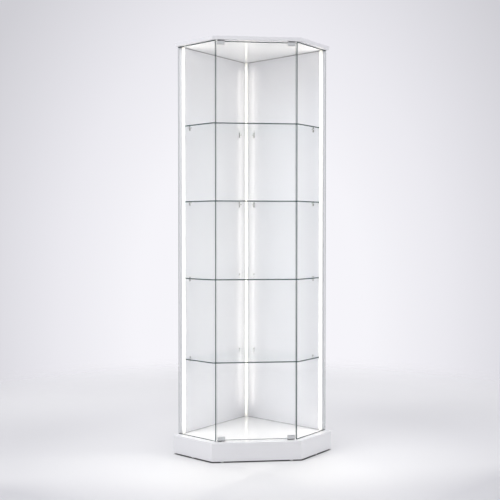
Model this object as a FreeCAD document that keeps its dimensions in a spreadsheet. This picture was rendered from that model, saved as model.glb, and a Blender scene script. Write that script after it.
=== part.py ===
import FreeCAD, Part

import math
import os

import Sketcher

# Corner curio cabinet: a five-sided glass cabinet that stands in the corner of a room. Two gloss
# white back walls meet at 90 degrees, two glass sides stand square to the walls' front ends, and one
# glass door closes the front, 45 degrees to both. It stands on a box plinth, under a top board.
#
# Frame: +Z up, +Y towards the corner of the room, the door faces -Y, origin under the middle of the
# bounding box. Places along a wall are given as (along, inward): "along" from the outer back corner
# towards the front, "inward" from the wall's outer face into the cabinet. LEFT and RIGHT mirror them.

doc = FreeCAD.newDocument("corner_curio_cabinet")

LEFT = -1
RIGHT = 1
SIDES = ((LEFT, "left"), (RIGHT, "right"))

# ---------------------------------------------------------------------------------------------
# Driving dimensions, in millimetres
# ---------------------------------------------------------------------------------------------

SIZES = [
    ("overall_height", 1800, "floor to top face"),
    ("wall_leg", 465, "outer back corner to outer face of the side glass"),
    ("side_depth", 217, "outer face of the wall to the front corner of the side glass"),
    ("glide_height", 4, "glides under the plinth"),
    ("glide_radius", 7, "glides under the plinth"),
    ("plinth_height", 80, "height of the plinth boards"),
    ("plinth_board", 16, "thickness of the plinth boards"),
    ("plinth_side_overhang", 30, "plinth beyond the side glass"),
    ("plinth_front_overhang", 27, "plinth beyond the door"),
    ("floor_board", 16, "thickness of the floor board"),
    ("wall_board", 16, "thickness of the back walls"),
    ("top_board", 16, "thickness of the top board"),
    ("top_side_overhang", 17, "top board beyond the side glass"),
    ("top_front_overhang", 11, "top board beyond the door"),
    ("board_round", 1, "rounding of the boards' visible edges"),
    ("cleat", 20, "square section of the floor cleats"),
    ("cleat_setback", 84, "back cleats to the ends of the back walls"),
    ("cleat_clear", 10, "side and front cleats to the other cleats"),
    ("cleat_screw_setback", 30, "screws to the ends of the cleats"),
    ("side_pane", 5, "thickness of the side glass"),
    ("door_pane", 5, "thickness of the door glass"),
    ("shelf_pane", 5, "thickness of the glass shelves"),
    ("arris", 0.4, "ground arris on the glass edges"),
    ("groove_depth", 4, "grooves for the side glass"),
    ("groove_play", 0.3, "side glass to groove"),
    ("bond_tape", 1, "thickness of the tape between wall and side glass"),
    ("bond_width", 10, "width of that tape"),
    ("door_side_gap", 2.5, "door edge to side glass"),
    ("door_end_gap", 4, "door edge to top board and floor board"),
    ("shelf_setback", 22, "shelf front edge behind the door's front face"),
    ("shelf_side_gap", 4, "shelf edge to side glass"),
    ("shelf_wall_gap", 3, "shelf edge to back wall"),
    ("shelf_light_gap", 2, "shelf edge to light profile"),
    ("shelf_rise_1", 329, "lowest shelf's underside above the floor board"),
    ("shelf_rise_2", 685, "second shelf's underside above the floor board"),
    ("shelf_rise_3", 1021, "third shelf's underside above the floor board"),
    ("shelf_rise_4", 1352, "highest shelf's underside above the floor board"),
    ("support_setback", 50, "shelf support to each end of the wall's inner face"),
    ("support_width", 8, "shelf support, along the wall"),
    ("support_reach", 10, "shelf support, out from the wall"),
    ("support_drop", 12, "shelf support, height"),
    ("support_plate", 1.5, "shelf support, plate thickness"),
    ("support_pad", 0.8, "clear pad between support and shelf"),
    ("support_pin_radius", 2.5, "shelf support's pin"),
    ("support_pin_length", 8, "shelf support's pin in the wall"),
    ("clamp_width", 32, "door clamp, along the door's edge"),
    ("clamp_reach", 14, "door clamp, from the glass edge over the glass"),
    ("clamp_plate", 3, "door clamp, thickness of each cheek"),
    ("clamp_web", 2, "door clamp, thickness across the glass edge"),
    ("clamp_pad", 0.5, "soft pad between clamp and glass"),
    ("clamp_inset", 3, "door clamp to the door's side edge"),
    ("clamp_edge", 0.4, "broken edges of the clamps"),
    ("grub_radius", 2, "clamping screw"),
    ("grub_spacing", 16, "between the two clamping screws"),
    ("pivot_radius", 3, "hinge pin"),
    ("pivot_inset", 14, "hinge axis to the door's side edge"),
    ("pivot_play", 0.05, "hinge pin to bush, on the radius"),
    ("pivot_depth", 10, "hinge pin beyond the board's face"),
    ("bush_wall", 2, "bush, round the pin"),
    ("bush_end", 1.2, "bush, closed end"),
    ("bush_gap", 0.3, "bush to clamp, and hinge pin to the bush's end"),
    ("bush_flange_radius", 8, "bush, flange"),
    ("catch_width", 14, "magnetic catch, along the door"),
    ("catch_depth", 6, "magnetic catch, front to back"),
    ("catch_rise", 13, "magnetic catch, out of the board"),
    ("catch_gap", 0.3, "magnetic catch to the closed door's clamp"),
    ("catch_barrel_radius", 5, "magnetic catch, barrel in the board"),
    ("catch_barrel_length", 10, "magnetic catch, barrel in the board"),
    ("magnet_radius", 4, "magnet in the catch"),
    ("magnet_depth", 4, "magnet in the catch"),
    ("light_width", 14, "side light profile, along the wall"),
    ("light_rise", 5, "side light profile, out from the wall"),
    ("light_offset", 1, "side light profile to side glass"),
    ("channel_rise", 2, "side light profile, metal part"),
    ("light_wall", 1, "walls of the light profiles"),
    ("tape_width", 8, "light tape"),
    ("tape_rise", 0.8, "light tape"),
    ("corner_leg", 16, "corner light profile, on each wall"),
    ("corner_window", 10, "corner light profile, lit width"),
    ("corner_well", 5, "corner light profile, depth of its well"),
    ("corner_cover", 1.8, "corner light profile, cover thickness"),
    ("corner_proud", 0.8, "corner light cover, proud of its profile"),
    ("light_cap", 1.5, "end caps of the light profiles"),
    ("lead_radius", 1, "light leads"),
    ("lead_bend", 10.5, "bends of the light leads"),
    ("lead_play", 0.3, "light lead to its hole, on the radius"),
    ("lead_overlap", 6, "light lead along its tape"),
    ("box_length", 120, "light distributor"),
    ("box_width", 44, "light distributor"),
    ("box_height", 22, "light distributor"),
    ("box_ear", 10, "light distributor, screw ears"),
    ("box_ear_height", 3, "light distributor, screw ears"),
    ("socket_along", 60, "power socket, from the outer back corner"),
    ("socket_radius", 6, "power socket, body"),
    ("socket_collar", 8, "power socket, collar and nut"),
    ("socket_plate", 2, "power socket, thickness of collar and nut"),
    ("socket_tail", 4, "power socket, behind the board"),
    ("socket_bore", 2.75, "power socket, plug opening"),
    ("socket_bore_depth", 10, "power socket, plug opening"),
    ("supply_offset", 15, "supply lead beside the cabinet's middle"),
    ("dowel_radius", 4, "wall dowels"),
    ("dowel_length", 28, "wall dowels"),
    ("dowel_in_top", 11, "wall dowels, depth in the top board"),
    ("dowel_setback", 80, "wall dowels to the wall's ends"),
    ("hole_play", 0.05, "fastener to its hole, on the radius and at the end"),
    ("cam_radius", 7.5, "cam fitting"),
    ("cam_depth", 12.5, "cam fitting"),
    ("cam_drop", 34, "cam fitting below the top board"),
    ("cam_setback", 140, "cam fittings to the wall's ends"),
    ("bolt_radius", 3.5, "cam bolt"),
    ("bolt_in_top", 9, "cam bolt, depth in the top board"),
    ("screw_radius", 2.5, "corner screw, shank"),
    ("screw_length", 50, "corner screw"),
    ("screw_head", 5, "corner screw, head"),
    ("screw_head_depth", 3, "corner screw, head"),
    ("screw_margin", 120, "corner screws to the wall's top and bottom"),
    ("small_screw_radius", 1.75, "cleat and distributor screws, shank"),
    ("small_screw_head", 3.5, "cleat and distributor screws, head"),
    ("small_screw_head_depth", 2, "cleat and distributor screws, head"),
    ("screw_bite", 10, "cleat and distributor screws, depth in the floor board"),
]

sheet = doc.addObject("Spreadsheet::Sheet", "sizes")
for row, (alias, amount, meaning) in enumerate(SIZES, start=1):
    sheet.set(f"A{row}", alias)
    sheet.set(f"B{row}", str(amount))
    sheet.setAlias(f"B{row}", alias)
    sheet.set(f"C{row}", meaning)
doc.recompute()

# Planes and lines that many pieces share, as expressions on the sheet
FLOOR_TOP = "(sizes.glide_height + sizes.plinth_height)"
FLOOR_LOW = f"({FLOOR_TOP} - sizes.floor_board)"
CEILING = "(sizes.overall_height - sizes.top_board)"
ROOM = f"({CEILING} - {FLOOR_TOP})"
DEPTH = "((sizes.wall_leg + sizes.side_depth) / sqrt(2) + sizes.plinth_front_overhang)"
BACK_Y = f"({DEPTH} / 2)"
DOOR_Y = f"({BACK_Y} - (sizes.wall_leg + sizes.side_depth) / sqrt(2))"
DOOR_TOP = f"({CEILING} - sizes.door_end_gap)"
DOOR_LOW = f"({FLOOR_TOP} + sizes.door_end_gap)"
FRONT_HALF = "((sizes.wall_leg - sizes.side_depth) / sqrt(2))"
DOOR_HALF = f"({FRONT_HALF} - sizes.side_pane / sqrt(2) - sizes.door_side_gap)"
PANE_FACE = "(sizes.wall_leg - sizes.side_pane)"
WALL_END = f"({PANE_FACE} - sizes.bond_tape)"

# ---------------------------------------------------------------------------------------------
# Helpers
# ---------------------------------------------------------------------------------------------

nodes = []


def number(expression):
    """The present value of an expression on the sheet."""
    return float(sheet.evalExpression(expression))


def place_x(side, along, inward):
    """X of a place given along a wall and inward from its outer face."""
    return f"({side}) * (({along}) - ({inward})) / sqrt(2)"


def place_y(along, inward):
    """Y of a place given along a wall and inward from its outer face."""
    return f"{BACK_Y} - (({along}) + ({inward})) / sqrt(2)"


def place_xy(side, along, inward):
    """Both plan coordinates of a place on a wall."""
    return place_x(side, along, inward), place_y(along, inward)


def keep(item, label):
    """Make an object a sub-part of the cabinet, under its own name."""
    item.Label = label
    nodes.append(item)
    return item


def bind(item, bindings):
    """Bind an object's properties to expressions."""
    for key, expression in bindings.items():
        item.setExpression(key, expression)


def bind_place(item, place):
    """Bind an object's position to three expressions."""
    keys = ("Placement.Base.x", "Placement.Base.y", "Placement.Base.z")
    bind(item, dict(zip(keys, place)))


def polygon_sketch(body, role, points):
    """A closed polygon on one of the body's own planes, each corner bound to the sheet."""
    sketch = body.newObject("Sketcher::SketchObject", body.Name + "_outline")
    plane = [feature for feature in body.Origin.OriginFeatures if feature.Role == role][0]
    sketch.AttachmentSupport = [(plane, "")]
    sketch.MapMode = "FlatFace"
    corners = [FreeCAD.Vector(number(across), number(up), 0) for across, up in points]
    count = len(corners)
    for index in range(count):
        edge = Part.LineSegment(corners[index], corners[(index + 1) % count])
        sketch.addGeometry(edge, False)
    for index in range(count):
        sketch.addConstraint(Sketcher.Constraint("Coincident", index, 2, (index + 1) % count, 1))
    for index, (across, up) in enumerate(points):
        for kind, key, amount, expression in (
            ("DistanceX", f"across_{index}", corners[index].x, across),
            ("DistanceY", f"up_{index}", corners[index].y, up),
        ):
            constraint = sketch.addConstraint(Sketcher.Constraint(kind, -1, 1, index, 1, amount))
            sketch.renameConstraint(constraint, key)
            sketch.setExpression(f"Constraints.{key}", expression)
    return sketch


def prism(name, points, start, length, role="XY_Plane"):
    """A polygon pushed out to a length, from a start along the axis square to its plane."""
    body = doc.addObject("PartDesign::Body", name)
    outline_sketch = polygon_sketch(body, role, points)
    pad = body.newObject("PartDesign::Pad", name + "_pad")
    pad.Profile = outline_sketch
    bind(pad, {"Length": length})
    axis = {"XY_Plane": "z", "YZ_Plane": "x"}[role]
    bind(body, {f"Placement.Base.{axis}": start})
    body.Tip = pad
    doc.recompute()
    return body


def edge_names(shape, middles, wanted=True):
    """Names of the edges whose middles are, or are not, among the given points."""
    names = []
    for index, edge in enumerate(shape.Edges, start=1):
        found = any(edge.CenterOfMass.distanceToPoint(middle) < 0.01 for middle in middles)
        if found == wanted:
            names.append(f"Edge{index}")
    return names


def break_edges(body, width, sharp=()):
    """A small chamfer on every edge of a body but those whose middles are given as sharp."""
    base = body.Tip
    chamfer = body.newObject("PartDesign::Chamfer", body.Name + "_arris")
    chamfer.Base = (base, edge_names(base.Shape, sharp, wanted=False))
    bind(chamfer, {"Size": width})
    body.Tip = chamfer
    return body


def round_edges(body, middles, radius):
    """Round the edges whose middles lie at the given points of the body's own frame."""
    base = body.Tip
    fillet = body.newObject("PartDesign::Fillet", body.Name + "_round")
    fillet.Base = (base, edge_names(base.Shape, middles))
    bind(fillet, {"Radius": radius})
    body.Tip = fillet
    return body


def cylinder(name, radius, length, place, direction=FreeCAD.Vector(0, 0, 1)):
    """A cylinder from a place along a direction."""
    item = doc.addObject("Part::Cylinder", name)
    turn = FreeCAD.Rotation(FreeCAD.Vector(0, 0, 1), direction)
    item.Placement = FreeCAD.Placement(FreeCAD.Vector(0, 0, 0), turn)
    bind(item, {"Radius": radius, "Height": length})
    bind_place(item, place)
    return item


def block(name, across, deep, up):
    """A box square to the frame. Each span is (start, size)."""
    item = doc.addObject("Part::Box", name)
    bind(item, {"Length": across[1], "Width": deep[1], "Height": up[1]})
    bind_place(item, (across[0], deep[0], up[0]))
    return item


def wall_block(name, side, along, inward, up):
    """A box square to one wall. Each span is (start, size)."""
    item = doc.addObject("Part::Box", name)
    turn = FreeCAD.Rotation(FreeCAD.Vector(0, 0, 1), -135)
    item.Placement = FreeCAD.Placement(FreeCAD.Vector(0, 0, 0), turn)
    length, width = (along[1], inward[1]) if side == LEFT else (inward[1], along[1])
    bind(item, {"Length": length, "Width": width, "Height": up[1]})
    bind_place(item, (*place_xy(side, along[0], inward[0]), up[0]))
    return item


def wall_pin(name, side, radius, along, inward, up):
    """A cylinder square to one wall. The inward span is (start, size)."""
    place = (*place_xy(side, along, inward[0]), up)
    return cylinder(name, radius, inward[1], place, FreeCAD.Vector(-side, -1, 0))


def group(name, members):
    """Several separate solids as one object."""
    item = doc.addObject("Part::Compound", name)
    item.Links = members
    return item


def fuse(name, members):
    """Several touching solids as one solid."""
    item = doc.addObject("Part::MultiFuse", name)
    item.Shapes = members
    return item


def cut(name, base, tool):
    """One object less another."""
    item = doc.addObject("Part::Cut", name)
    item.Base = base
    item.Tool = tool
    return item


def ground_glass(name, pane):
    """A square-edged pane with a ground arris on each of its edges."""
    doc.recompute()
    item = doc.addObject("Part::Chamfer", name)
    item.Base = pane
    width = number("sizes.arris")
    item.Edges = [(index, width, width) for index in range(1, len(pane.Shape.Edges) + 1)]
    return item


# ---------------------------------------------------------------------------------------------
# Outlines that follow the cabinet's five sides
# ---------------------------------------------------------------------------------------------


def front_inward(along, ahead):
    """Inward place at which "along" meets the line "ahead" of the door's front face."""
    return f"(sizes.wall_leg + sizes.side_depth + sqrt(2) * ({ahead}) - ({along}))"


def outline(behind, beside, ahead):
    """The five-sided outline, from the back corner round by the left side.

    behind is the inset from the walls' outer faces, beside and ahead the reach past the glass.
    """
    along = f"(sizes.wall_leg + ({beside}))"
    places = [(behind, behind), (along, behind), (along, front_inward(along, ahead))]
    left = [place_xy(LEFT, *place) for place in places]
    right = [place_xy(RIGHT, *place) for place in places]
    return [left[0], left[1], left[2], right[2], right[1]]


PLINTH_OUTER = outline("0", "sizes.plinth_side_overhang", "sizes.plinth_front_overhang")
PLINTH_INNER = outline(
    "sizes.plinth_board",
    "sizes.plinth_side_overhang - sizes.plinth_board",
    "sizes.plinth_front_overhang - sizes.plinth_board",
)
TOP_OUTER = outline("0", "sizes.top_side_overhang", "sizes.top_front_overhang")


def side_middles(points, indices, levels):
    """Middles of the outline's edges that start at the given corners, at each level."""
    middles = []
    for index in indices:
        start = points[index]
        end = points[(index + 1) % len(points)]
        across = (number(start[0]) + number(end[0])) / 2
        deep = (number(start[1]) + number(end[1])) / 2
        middles += [FreeCAD.Vector(across, deep, level) for level in levels]
    return middles


# ---------------------------------------------------------------------------------------------
# Fasteners, each used as the piece itself and, with play, as its hole
# ---------------------------------------------------------------------------------------------

MID_WALL = "sizes.wall_board / 2"


def wall_spots(setback, start="0"):
    """Side, name and place of two spots on each wall, set back from a start and from its end."""
    for side, side_name in SIDES:
        yield side, f"{side_name}_back", f"{start} + {setback}"
        yield side, f"{side_name}_front", f"{WALL_END} - {setback}"


def dowels(name, play):
    """Dowels that stand the walls on the plinth and hold the top board."""
    starts = {
        "low": f"{FLOOR_TOP} - sizes.dowel_length / 2 - ({play})",
        "high": f"{CEILING} + sizes.dowel_in_top - sizes.dowel_length - ({play})",
    }
    members = []
    for side, spot, along in wall_spots("sizes.dowel_setback"):
        for level, start in starts.items():
            members.append(
                cylinder(
                    f"{name}_{spot}_{level}",
                    f"sizes.dowel_radius + ({play})",
                    f"sizes.dowel_length + 2 * ({play})",
                    (*place_xy(side, along, MID_WALL), start),
                )
            )
    return group(name, members)


def cams(name, play):
    """Cam fittings let into the walls' outer faces, below the top board."""
    members = []
    for side, spot, along in wall_spots("sizes.cam_setback"):
        members.append(
            wall_pin(
                f"{name}_{spot}",
                side,
                f"sizes.cam_radius + ({play})",
                along,
                ("0", f"sizes.cam_depth + ({play})"),
                f"{CEILING} - sizes.cam_drop",
            )
        )
    return group(name, members)


def cam_bolts(name, play):
    """Bolts that hang from the top board into the cam fittings."""
    members = []
    for side, spot, along in wall_spots("sizes.cam_setback"):
        members.append(
            cylinder(
                f"{name}_{spot}",
                f"sizes.bolt_radius + ({play})",
                f"sizes.cam_drop + sizes.bolt_in_top + 2 * ({play})",
                (*place_xy(side, along, MID_WALL), f"{CEILING} - sizes.cam_drop - ({play})"),
            )
        )
    return group(name, members)


def corner_screws(name, play):
    """Screws through the left wall into the end of the right wall."""
    members = []
    for index in range(4):
        level = f"{FLOOR_TOP} + sizes.screw_margin + ({ROOM} - 2 * sizes.screw_margin) * {index} / 3"
        head = wall_pin(
            f"{name}_head_{index + 1}",
            LEFT,
            f"sizes.screw_head + ({play})",
            MID_WALL,
            ("0", "sizes.screw_head_depth"),
            level,
        )
        shank = wall_pin(
            f"{name}_shank_{index + 1}",
            LEFT,
            f"sizes.screw_radius + ({play})",
            MID_WALL,
            ("0", f"sizes.screw_length + ({play})"),
            level,
        )
        members.append(fuse(f"{name}_{index + 1}", [head, shank]))
    return group(name, members)


def screws_up(name, places, head_low, play):
    """Small screws driven up into the floor board, their heads' undersides at a height."""
    members = []
    for index, place in enumerate(places, start=1):
        head = cylinder(
            f"{name}_head_{index}",
            f"sizes.small_screw_head + ({play})",
            "sizes.small_screw_head_depth",
            (*place, head_low),
        )
        shank = cylinder(
            f"{name}_shank_{index}",
            f"sizes.small_screw_radius + ({play})",
            f"{FLOOR_LOW} + sizes.screw_bite - ({head_low}) + ({play})",
            (*place, head_low),
        )
        members.append(fuse(f"{name}_{index}", [head, shank]))
    return group(name, members)


def support_pin(name, side, along, play):
    """Pin of one shelf support, with the shelf's underside at z = 0."""
    return wall_pin(
        name,
        side,
        f"sizes.support_pin_radius + ({play})",
        along,
        (
            f"sizes.wall_board - sizes.support_pin_length - ({play})",
            f"sizes.support_pin_length + sizes.support_plate / 2 + ({play})",
        ),
        "0 - sizes.support_pad - sizes.support_drop / 2",
    )


def at_shelf(name, members, index):
    """A group made for a shelf at z = 0, raised to the underside of one shelf."""
    item = group(name, members)
    bind(item, {"Placement.Base.z": f"{FLOOR_TOP} + sizes.shelf_rise_{index}"})
    return item


SHELVES = (1, 2, 3, 4)
SUPPORTS = tuple(wall_spots("sizes.support_setback", "sizes.wall_board"))
support_hole_set = [
    support_pin(f"support_hole_{spot}", side, along, "sizes.hole_play")
    for side, spot, along in SUPPORTS
]
support_holes = [at_shelf(f"support_holes_{index}", support_hole_set, index) for index in SHELVES]
dowel_holes = dowels("dowel_hole", "sizes.hole_play")
cam_holes = cams("cam_hole", "sizes.hole_play")
cam_bolt_holes = cam_bolts("cam_bolt_hole", "sizes.hole_play")
corner_screw_holes = corner_screws("corner_screw_hole", "sizes.hole_play")

# ---------------------------------------------------------------------------------------------
# Places of the cleats, the lights and the leads below the floor board
# ---------------------------------------------------------------------------------------------

CLEAT_LOW = f"({FLOOR_LOW} - sizes.cleat)"
CLEAT_UP = (CLEAT_LOW, "sizes.cleat")
FRONT_CLEAT_HALF = f"({FRONT_HALF} - sizes.cleat)"
FRONT_CLEAT_Y = f"({DOOR_Y} - sizes.plinth_front_overhang + sizes.plinth_board)"
PLINTH_SIDE_INNER = "(sizes.wall_leg + sizes.plinth_side_overhang - sizes.plinth_board)"
SIDE_CLEAT_ALONG = f"({PLINTH_SIDE_INNER} - sizes.cleat)"
SIDE_CLEAT_START = "(sizes.plinth_board + sizes.cleat + sizes.cleat_clear)"
SIDE_CLEAT_END = "(sizes.side_depth - sizes.cleat - sizes.cleat_clear)"

LIGHT_ALONG = f"({PANE_FACE} - sizes.light_offset - sizes.light_width)"
LIGHT_MIDDLE = f"({LIGHT_ALONG} + sizes.light_width / 2)"
SIDE_TAPE_TOP = "(sizes.wall_board + sizes.light_wall + sizes.tape_rise)"
SIDE_LEAD_INWARD = f"({SIDE_TAPE_TOP} + sizes.lead_radius)"
CORNER_Y = f"({BACK_Y} - sqrt(2) * sizes.wall_board)"
CORNER_HALF = "(sizes.corner_leg / sqrt(2))"
CORNER_FRONT = f"({CORNER_Y} - {CORNER_HALF})"
CORNER_LEAD_Y = f"({CORNER_FRONT} + sizes.corner_well - sizes.tape_rise - sizes.lead_radius)"
LIGHT_LOW = f"({FLOOR_TOP} + sizes.light_cap)"
LIGHT_LENGTH = f"({ROOM} - 2 * sizes.light_cap)"

BOX_Y = f"({place_y(LIGHT_MIDDLE, SIDE_LEAD_INWARD)})"
BOX_LOW = f"({FLOOR_LOW} - sizes.box_height)"
LEAD_Z = f"({FLOOR_LOW} - sizes.box_height / 2)"
BOX_EAR_LOW = f"({FLOOR_LOW} - sizes.box_ear_height)"

LEAD_PLACES = (
    place_xy(LEFT, LIGHT_MIDDLE, SIDE_LEAD_INWARD),
    place_xy(RIGHT, LIGHT_MIDDLE, SIDE_LEAD_INWARD),
    ("0", CORNER_LEAD_Y),
)


def cleat_screw_places():
    """Plan places of the two screws in each cleat."""
    half = f"({FRONT_CLEAT_HALF} - sizes.cleat_screw_setback)"
    side_along = f"{SIDE_CLEAT_ALONG} + sizes.cleat / 2"
    back_inward = "sizes.plinth_board + sizes.cleat / 2"
    side_inwards = (
        f"{SIDE_CLEAT_START} + sizes.cleat_screw_setback",
        f"{SIDE_CLEAT_END} - sizes.cleat_screw_setback",
    )
    back_alongs = (
        "sizes.cleat_setback + sizes.cleat_screw_setback",
        f"{WALL_END} - sizes.cleat_setback - sizes.cleat_screw_setback",
    )
    places = []
    for side, _ in SIDES:
        places.append((f"({side}) * {half}", f"{FRONT_CLEAT_Y} + sizes.cleat / 2"))
        places += [place_xy(side, side_along, inward) for inward in side_inwards]
        places += [place_xy(side, along, back_inward) for along in back_alongs]
    return places


def box_screw_places():
    """Plan places of the four screws through the distributor's ears."""
    places = []
    for side, _ in SIDES:
        across = f"({side}) * (sizes.box_length + sizes.box_ear) / 2"
        for edge in (-1, 1):
            places.append((across, f"{BOX_Y} + ({edge}) * (sizes.box_width / 2 - sizes.box_ear)"))
    return places


BOX_SCREW_LOW = f"({BOX_EAR_LOW} - sizes.small_screw_head_depth)"
cleat_screw_holes = screws_up(
    "cleat_screw_hole", cleat_screw_places(), CLEAT_LOW, "sizes.hole_play"
)
box_screw_holes = screws_up("box_screw_hole", box_screw_places(), BOX_SCREW_LOW, "sizes.hole_play")
lead_holes = group(
    "lead_holes",
    [
        cylinder(
            f"lead_hole_{index}",
            "sizes.lead_radius + sizes.lead_play",
            "sizes.floor_board + sizes.light_cap",
            (*place, FLOOR_LOW),
        )
        for index, place in enumerate(LEAD_PLACES, start=1)
    ],
)


def side_grooves(name, low):
    """Slots for both side panes, with play on both faces and at the front end."""
    members = []
    for side, side_name in SIDES:
        members.append(
            wall_block(
                f"{name}_{side_name}",
                side,
                (f"{PANE_FACE} - sizes.groove_play", "sizes.side_pane + 2 * sizes.groove_play"),
                ("0 - sizes.groove_play", "sizes.side_depth + 2 * sizes.groove_play"),
                (low, "sizes.groove_depth"),
            )
        )
    return group(name, members)


floor_grooves = side_grooves("floor_groove", f"{FLOOR_TOP} - sizes.groove_depth")
top_grooves = side_grooves("top_groove", CEILING)

# ---------------------------------------------------------------------------------------------
# Plinth: five mitred boards on glides
# ---------------------------------------------------------------------------------------------


def plinth_board(name, first, second):
    """One mitred plinth board between two corners of the outline."""
    points = [PLINTH_OUTER[first], PLINTH_OUTER[second], PLINTH_INNER[second], PLINTH_INNER[first]]
    return prism(name, points, "sizes.glide_height", "sizes.plinth_height")


def visible_plinth_board(label, first, second):
    """A plinth board with its outer long edges rounded."""
    body = plinth_board(label + "_board", first, second)
    levels = (0, number("sizes.plinth_height"))
    round_edges(body, side_middles(PLINTH_OUTER, (first,), levels), "sizes.board_round")
    return keep(body, label)


SOCKET_INSIDE = "(sizes.plinth_board + sizes.socket_tail)"


def socket_body(name, play):
    """The power socket's body and its collar, let into the back of the plinth."""
    body = wall_pin(
        name + "_body",
        LEFT,
        f"sizes.socket_radius + ({play})",
        "sizes.socket_along",
        ("0", SOCKET_INSIDE),
        LEAD_Z,
    )
    collar = wall_pin(
        name + "_collar",
        LEFT,
        f"sizes.socket_collar + ({play})",
        "sizes.socket_along",
        ("0", f"sizes.socket_plate + ({play})"),
        LEAD_Z,
    )
    return [body, collar]


visible_plinth_board("plinth_left", 1, 2)
visible_plinth_board("plinth_front", 2, 3)
visible_plinth_board("plinth_right", 3, 4)
socket_hole = fuse("socket_hole", socket_body("socket_hole", "sizes.hole_play"))
back_left_holes = group("plinth_back_left_holes", [floor_grooves, dowel_holes, socket_hole])
back_right_holes = group("plinth_back_right_holes", [floor_grooves, dowel_holes])
plinth_back_left = plinth_board("plinth_back_left_board", 0, 1)
plinth_back_right = plinth_board("plinth_back_right_board", 4, 0)
keep(cut("plinth_back_left_cut", plinth_back_left, back_left_holes), "plinth_back_left")
keep(cut("plinth_back_right_cut", plinth_back_right, back_right_holes), "plinth_back_right")


def glide_places():
    """Plan places of the glides, under the middle of the plinth boards' thickness."""
    middle = "sizes.plinth_board / 2"
    side_along = f"{PLINTH_SIDE_INNER} + {middle}"
    front_y = f"{DOOR_Y} - sizes.plinth_front_overhang + {middle}"
    for side, _ in SIDES:
        yield place_xy(side, "sizes.dowel_setback", middle)
        yield place_xy(side, f"{WALL_END} - sizes.dowel_setback / 2", middle)
        yield place_xy(side, side_along, "sizes.side_depth / 2")
        yield f"({side}) * ({FRONT_HALF} - sizes.plinth_front_overhang)", front_y


glide_set = group(
    "glide_set",
    [
        cylinder(f"glide_{index}", "sizes.glide_radius", "sizes.glide_height", (*place, "0"))
        for index, place in enumerate(glide_places(), start=1)
    ],
)
keep(glide_set, "glides")

# ---------------------------------------------------------------------------------------------
# Cleats under the floor board
# ---------------------------------------------------------------------------------------------

front_cleat = block(
    "front_cleat",
    (f"0 - {FRONT_CLEAT_HALF}", f"2 * {FRONT_CLEAT_HALF}"),
    (FRONT_CLEAT_Y, "sizes.cleat"),
    CLEAT_UP,
)
side_cleats = [
    wall_block(
        f"side_cleat_{side_name}",
        side,
        (SIDE_CLEAT_ALONG, "sizes.cleat"),
        (SIDE_CLEAT_START, f"{SIDE_CLEAT_END} - {SIDE_CLEAT_START}"),
        CLEAT_UP,
    )
    for side, side_name in SIDES
]
back_cleats = [
    wall_block(
        f"back_cleat_{side_name}",
        side,
        ("sizes.cleat_setback", f"{WALL_END} - 2 * sizes.cleat_setback"),
        ("sizes.plinth_board", "sizes.cleat"),
        CLEAT_UP,
    )
    for side, side_name in SIDES
]
keep(cut("front_cleat_cut", front_cleat, cleat_screw_holes), "floor_cleat_front")
side_cleat_pair = group("side_cleat_pair", side_cleats)
back_cleat_pair = group("back_cleat_pair", back_cleats)
keep(cut("side_cleats_cut", side_cleat_pair, cleat_screw_holes), "floor_cleats_side")
keep(cut("back_cleats_cut", back_cleat_pair, cleat_screw_holes), "floor_cleats_back")
keep(screws_up("cleat_screw", cleat_screw_places(), CLEAT_LOW, "0"), "cleat_screws")

# ---------------------------------------------------------------------------------------------
# Door: one pane held by four clamps, on two pins that turn in bushes in the boards
# ---------------------------------------------------------------------------------------------

PIVOT_X = f"(0 - {DOOR_HALF} + sizes.pivot_inset)"
PIVOT_Y = f"({DOOR_Y} + sizes.door_pane / 2)"
HINGE_CLAMP_X = f"(0 - {DOOR_HALF} + sizes.clamp_inset)"
STRIKE_CLAMP_X = f"({DOOR_HALF} - sizes.clamp_inset - sizes.clamp_width)"
CLAMP_BACK_Y = f"({DOOR_Y} + sizes.door_pane + sizes.clamp_pad)"
CATCH_Y = f"({CLAMP_BACK_Y} + sizes.clamp_plate + sizes.catch_gap)"
CATCH_X = f"({STRIKE_CLAMP_X} + sizes.clamp_width / 2)"
BUSH_FLANGE = "(sizes.door_end_gap - sizes.clamp_pad - sizes.clamp_web - sizes.bush_gap)"
BUSH_RADIUS = "(sizes.pivot_radius + sizes.pivot_play + sizes.bush_wall)"
BUSH_BORE_DEPTH = "(sizes.pivot_depth + sizes.bush_gap)"
BUSH_DEPTH = f"({BUSH_BORE_DEPTH} + sizes.bush_end)"

# Name, direction out of the cabinet, the board's face, the door's edge beside it
ENDS = (("top", 1, CEILING, DOOR_TOP), ("bottom", -1, FLOOR_TOP, DOOR_LOW))


def upright(name, radius, place, end, start, length):
    """A cylinder along Z from a height, going up at the top end and down at the bottom end."""
    return cylinder(name, radius, length, (*place, start), FreeCAD.Vector(0, 0, end))


def clamp_profile(end, edge, gap, thickness, web):
    """U section over a glass edge, gap being the space between glass and U on every side."""
    inner_front = f"{DOOR_Y} - ({gap})"
    inner_back = f"{DOOR_Y} + sizes.door_pane + ({gap})"
    outer_front = f"{inner_front} - ({thickness})"
    outer_back = f"{inner_back} + ({thickness})"
    reach = f"{edge} - ({end}) * sizes.clamp_reach"
    inner = f"{edge} + ({end}) * ({gap})"
    outer = f"{edge} + ({end}) * (({gap}) + ({web}))"
    return [
        (outer_front, reach),
        (inner_front, reach),
        (inner_front, inner),
        (inner_back, inner),
        (inner_back, reach),
        (outer_back, reach),
        (outer_back, outer),
        (outer_front, outer),
    ]


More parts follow.
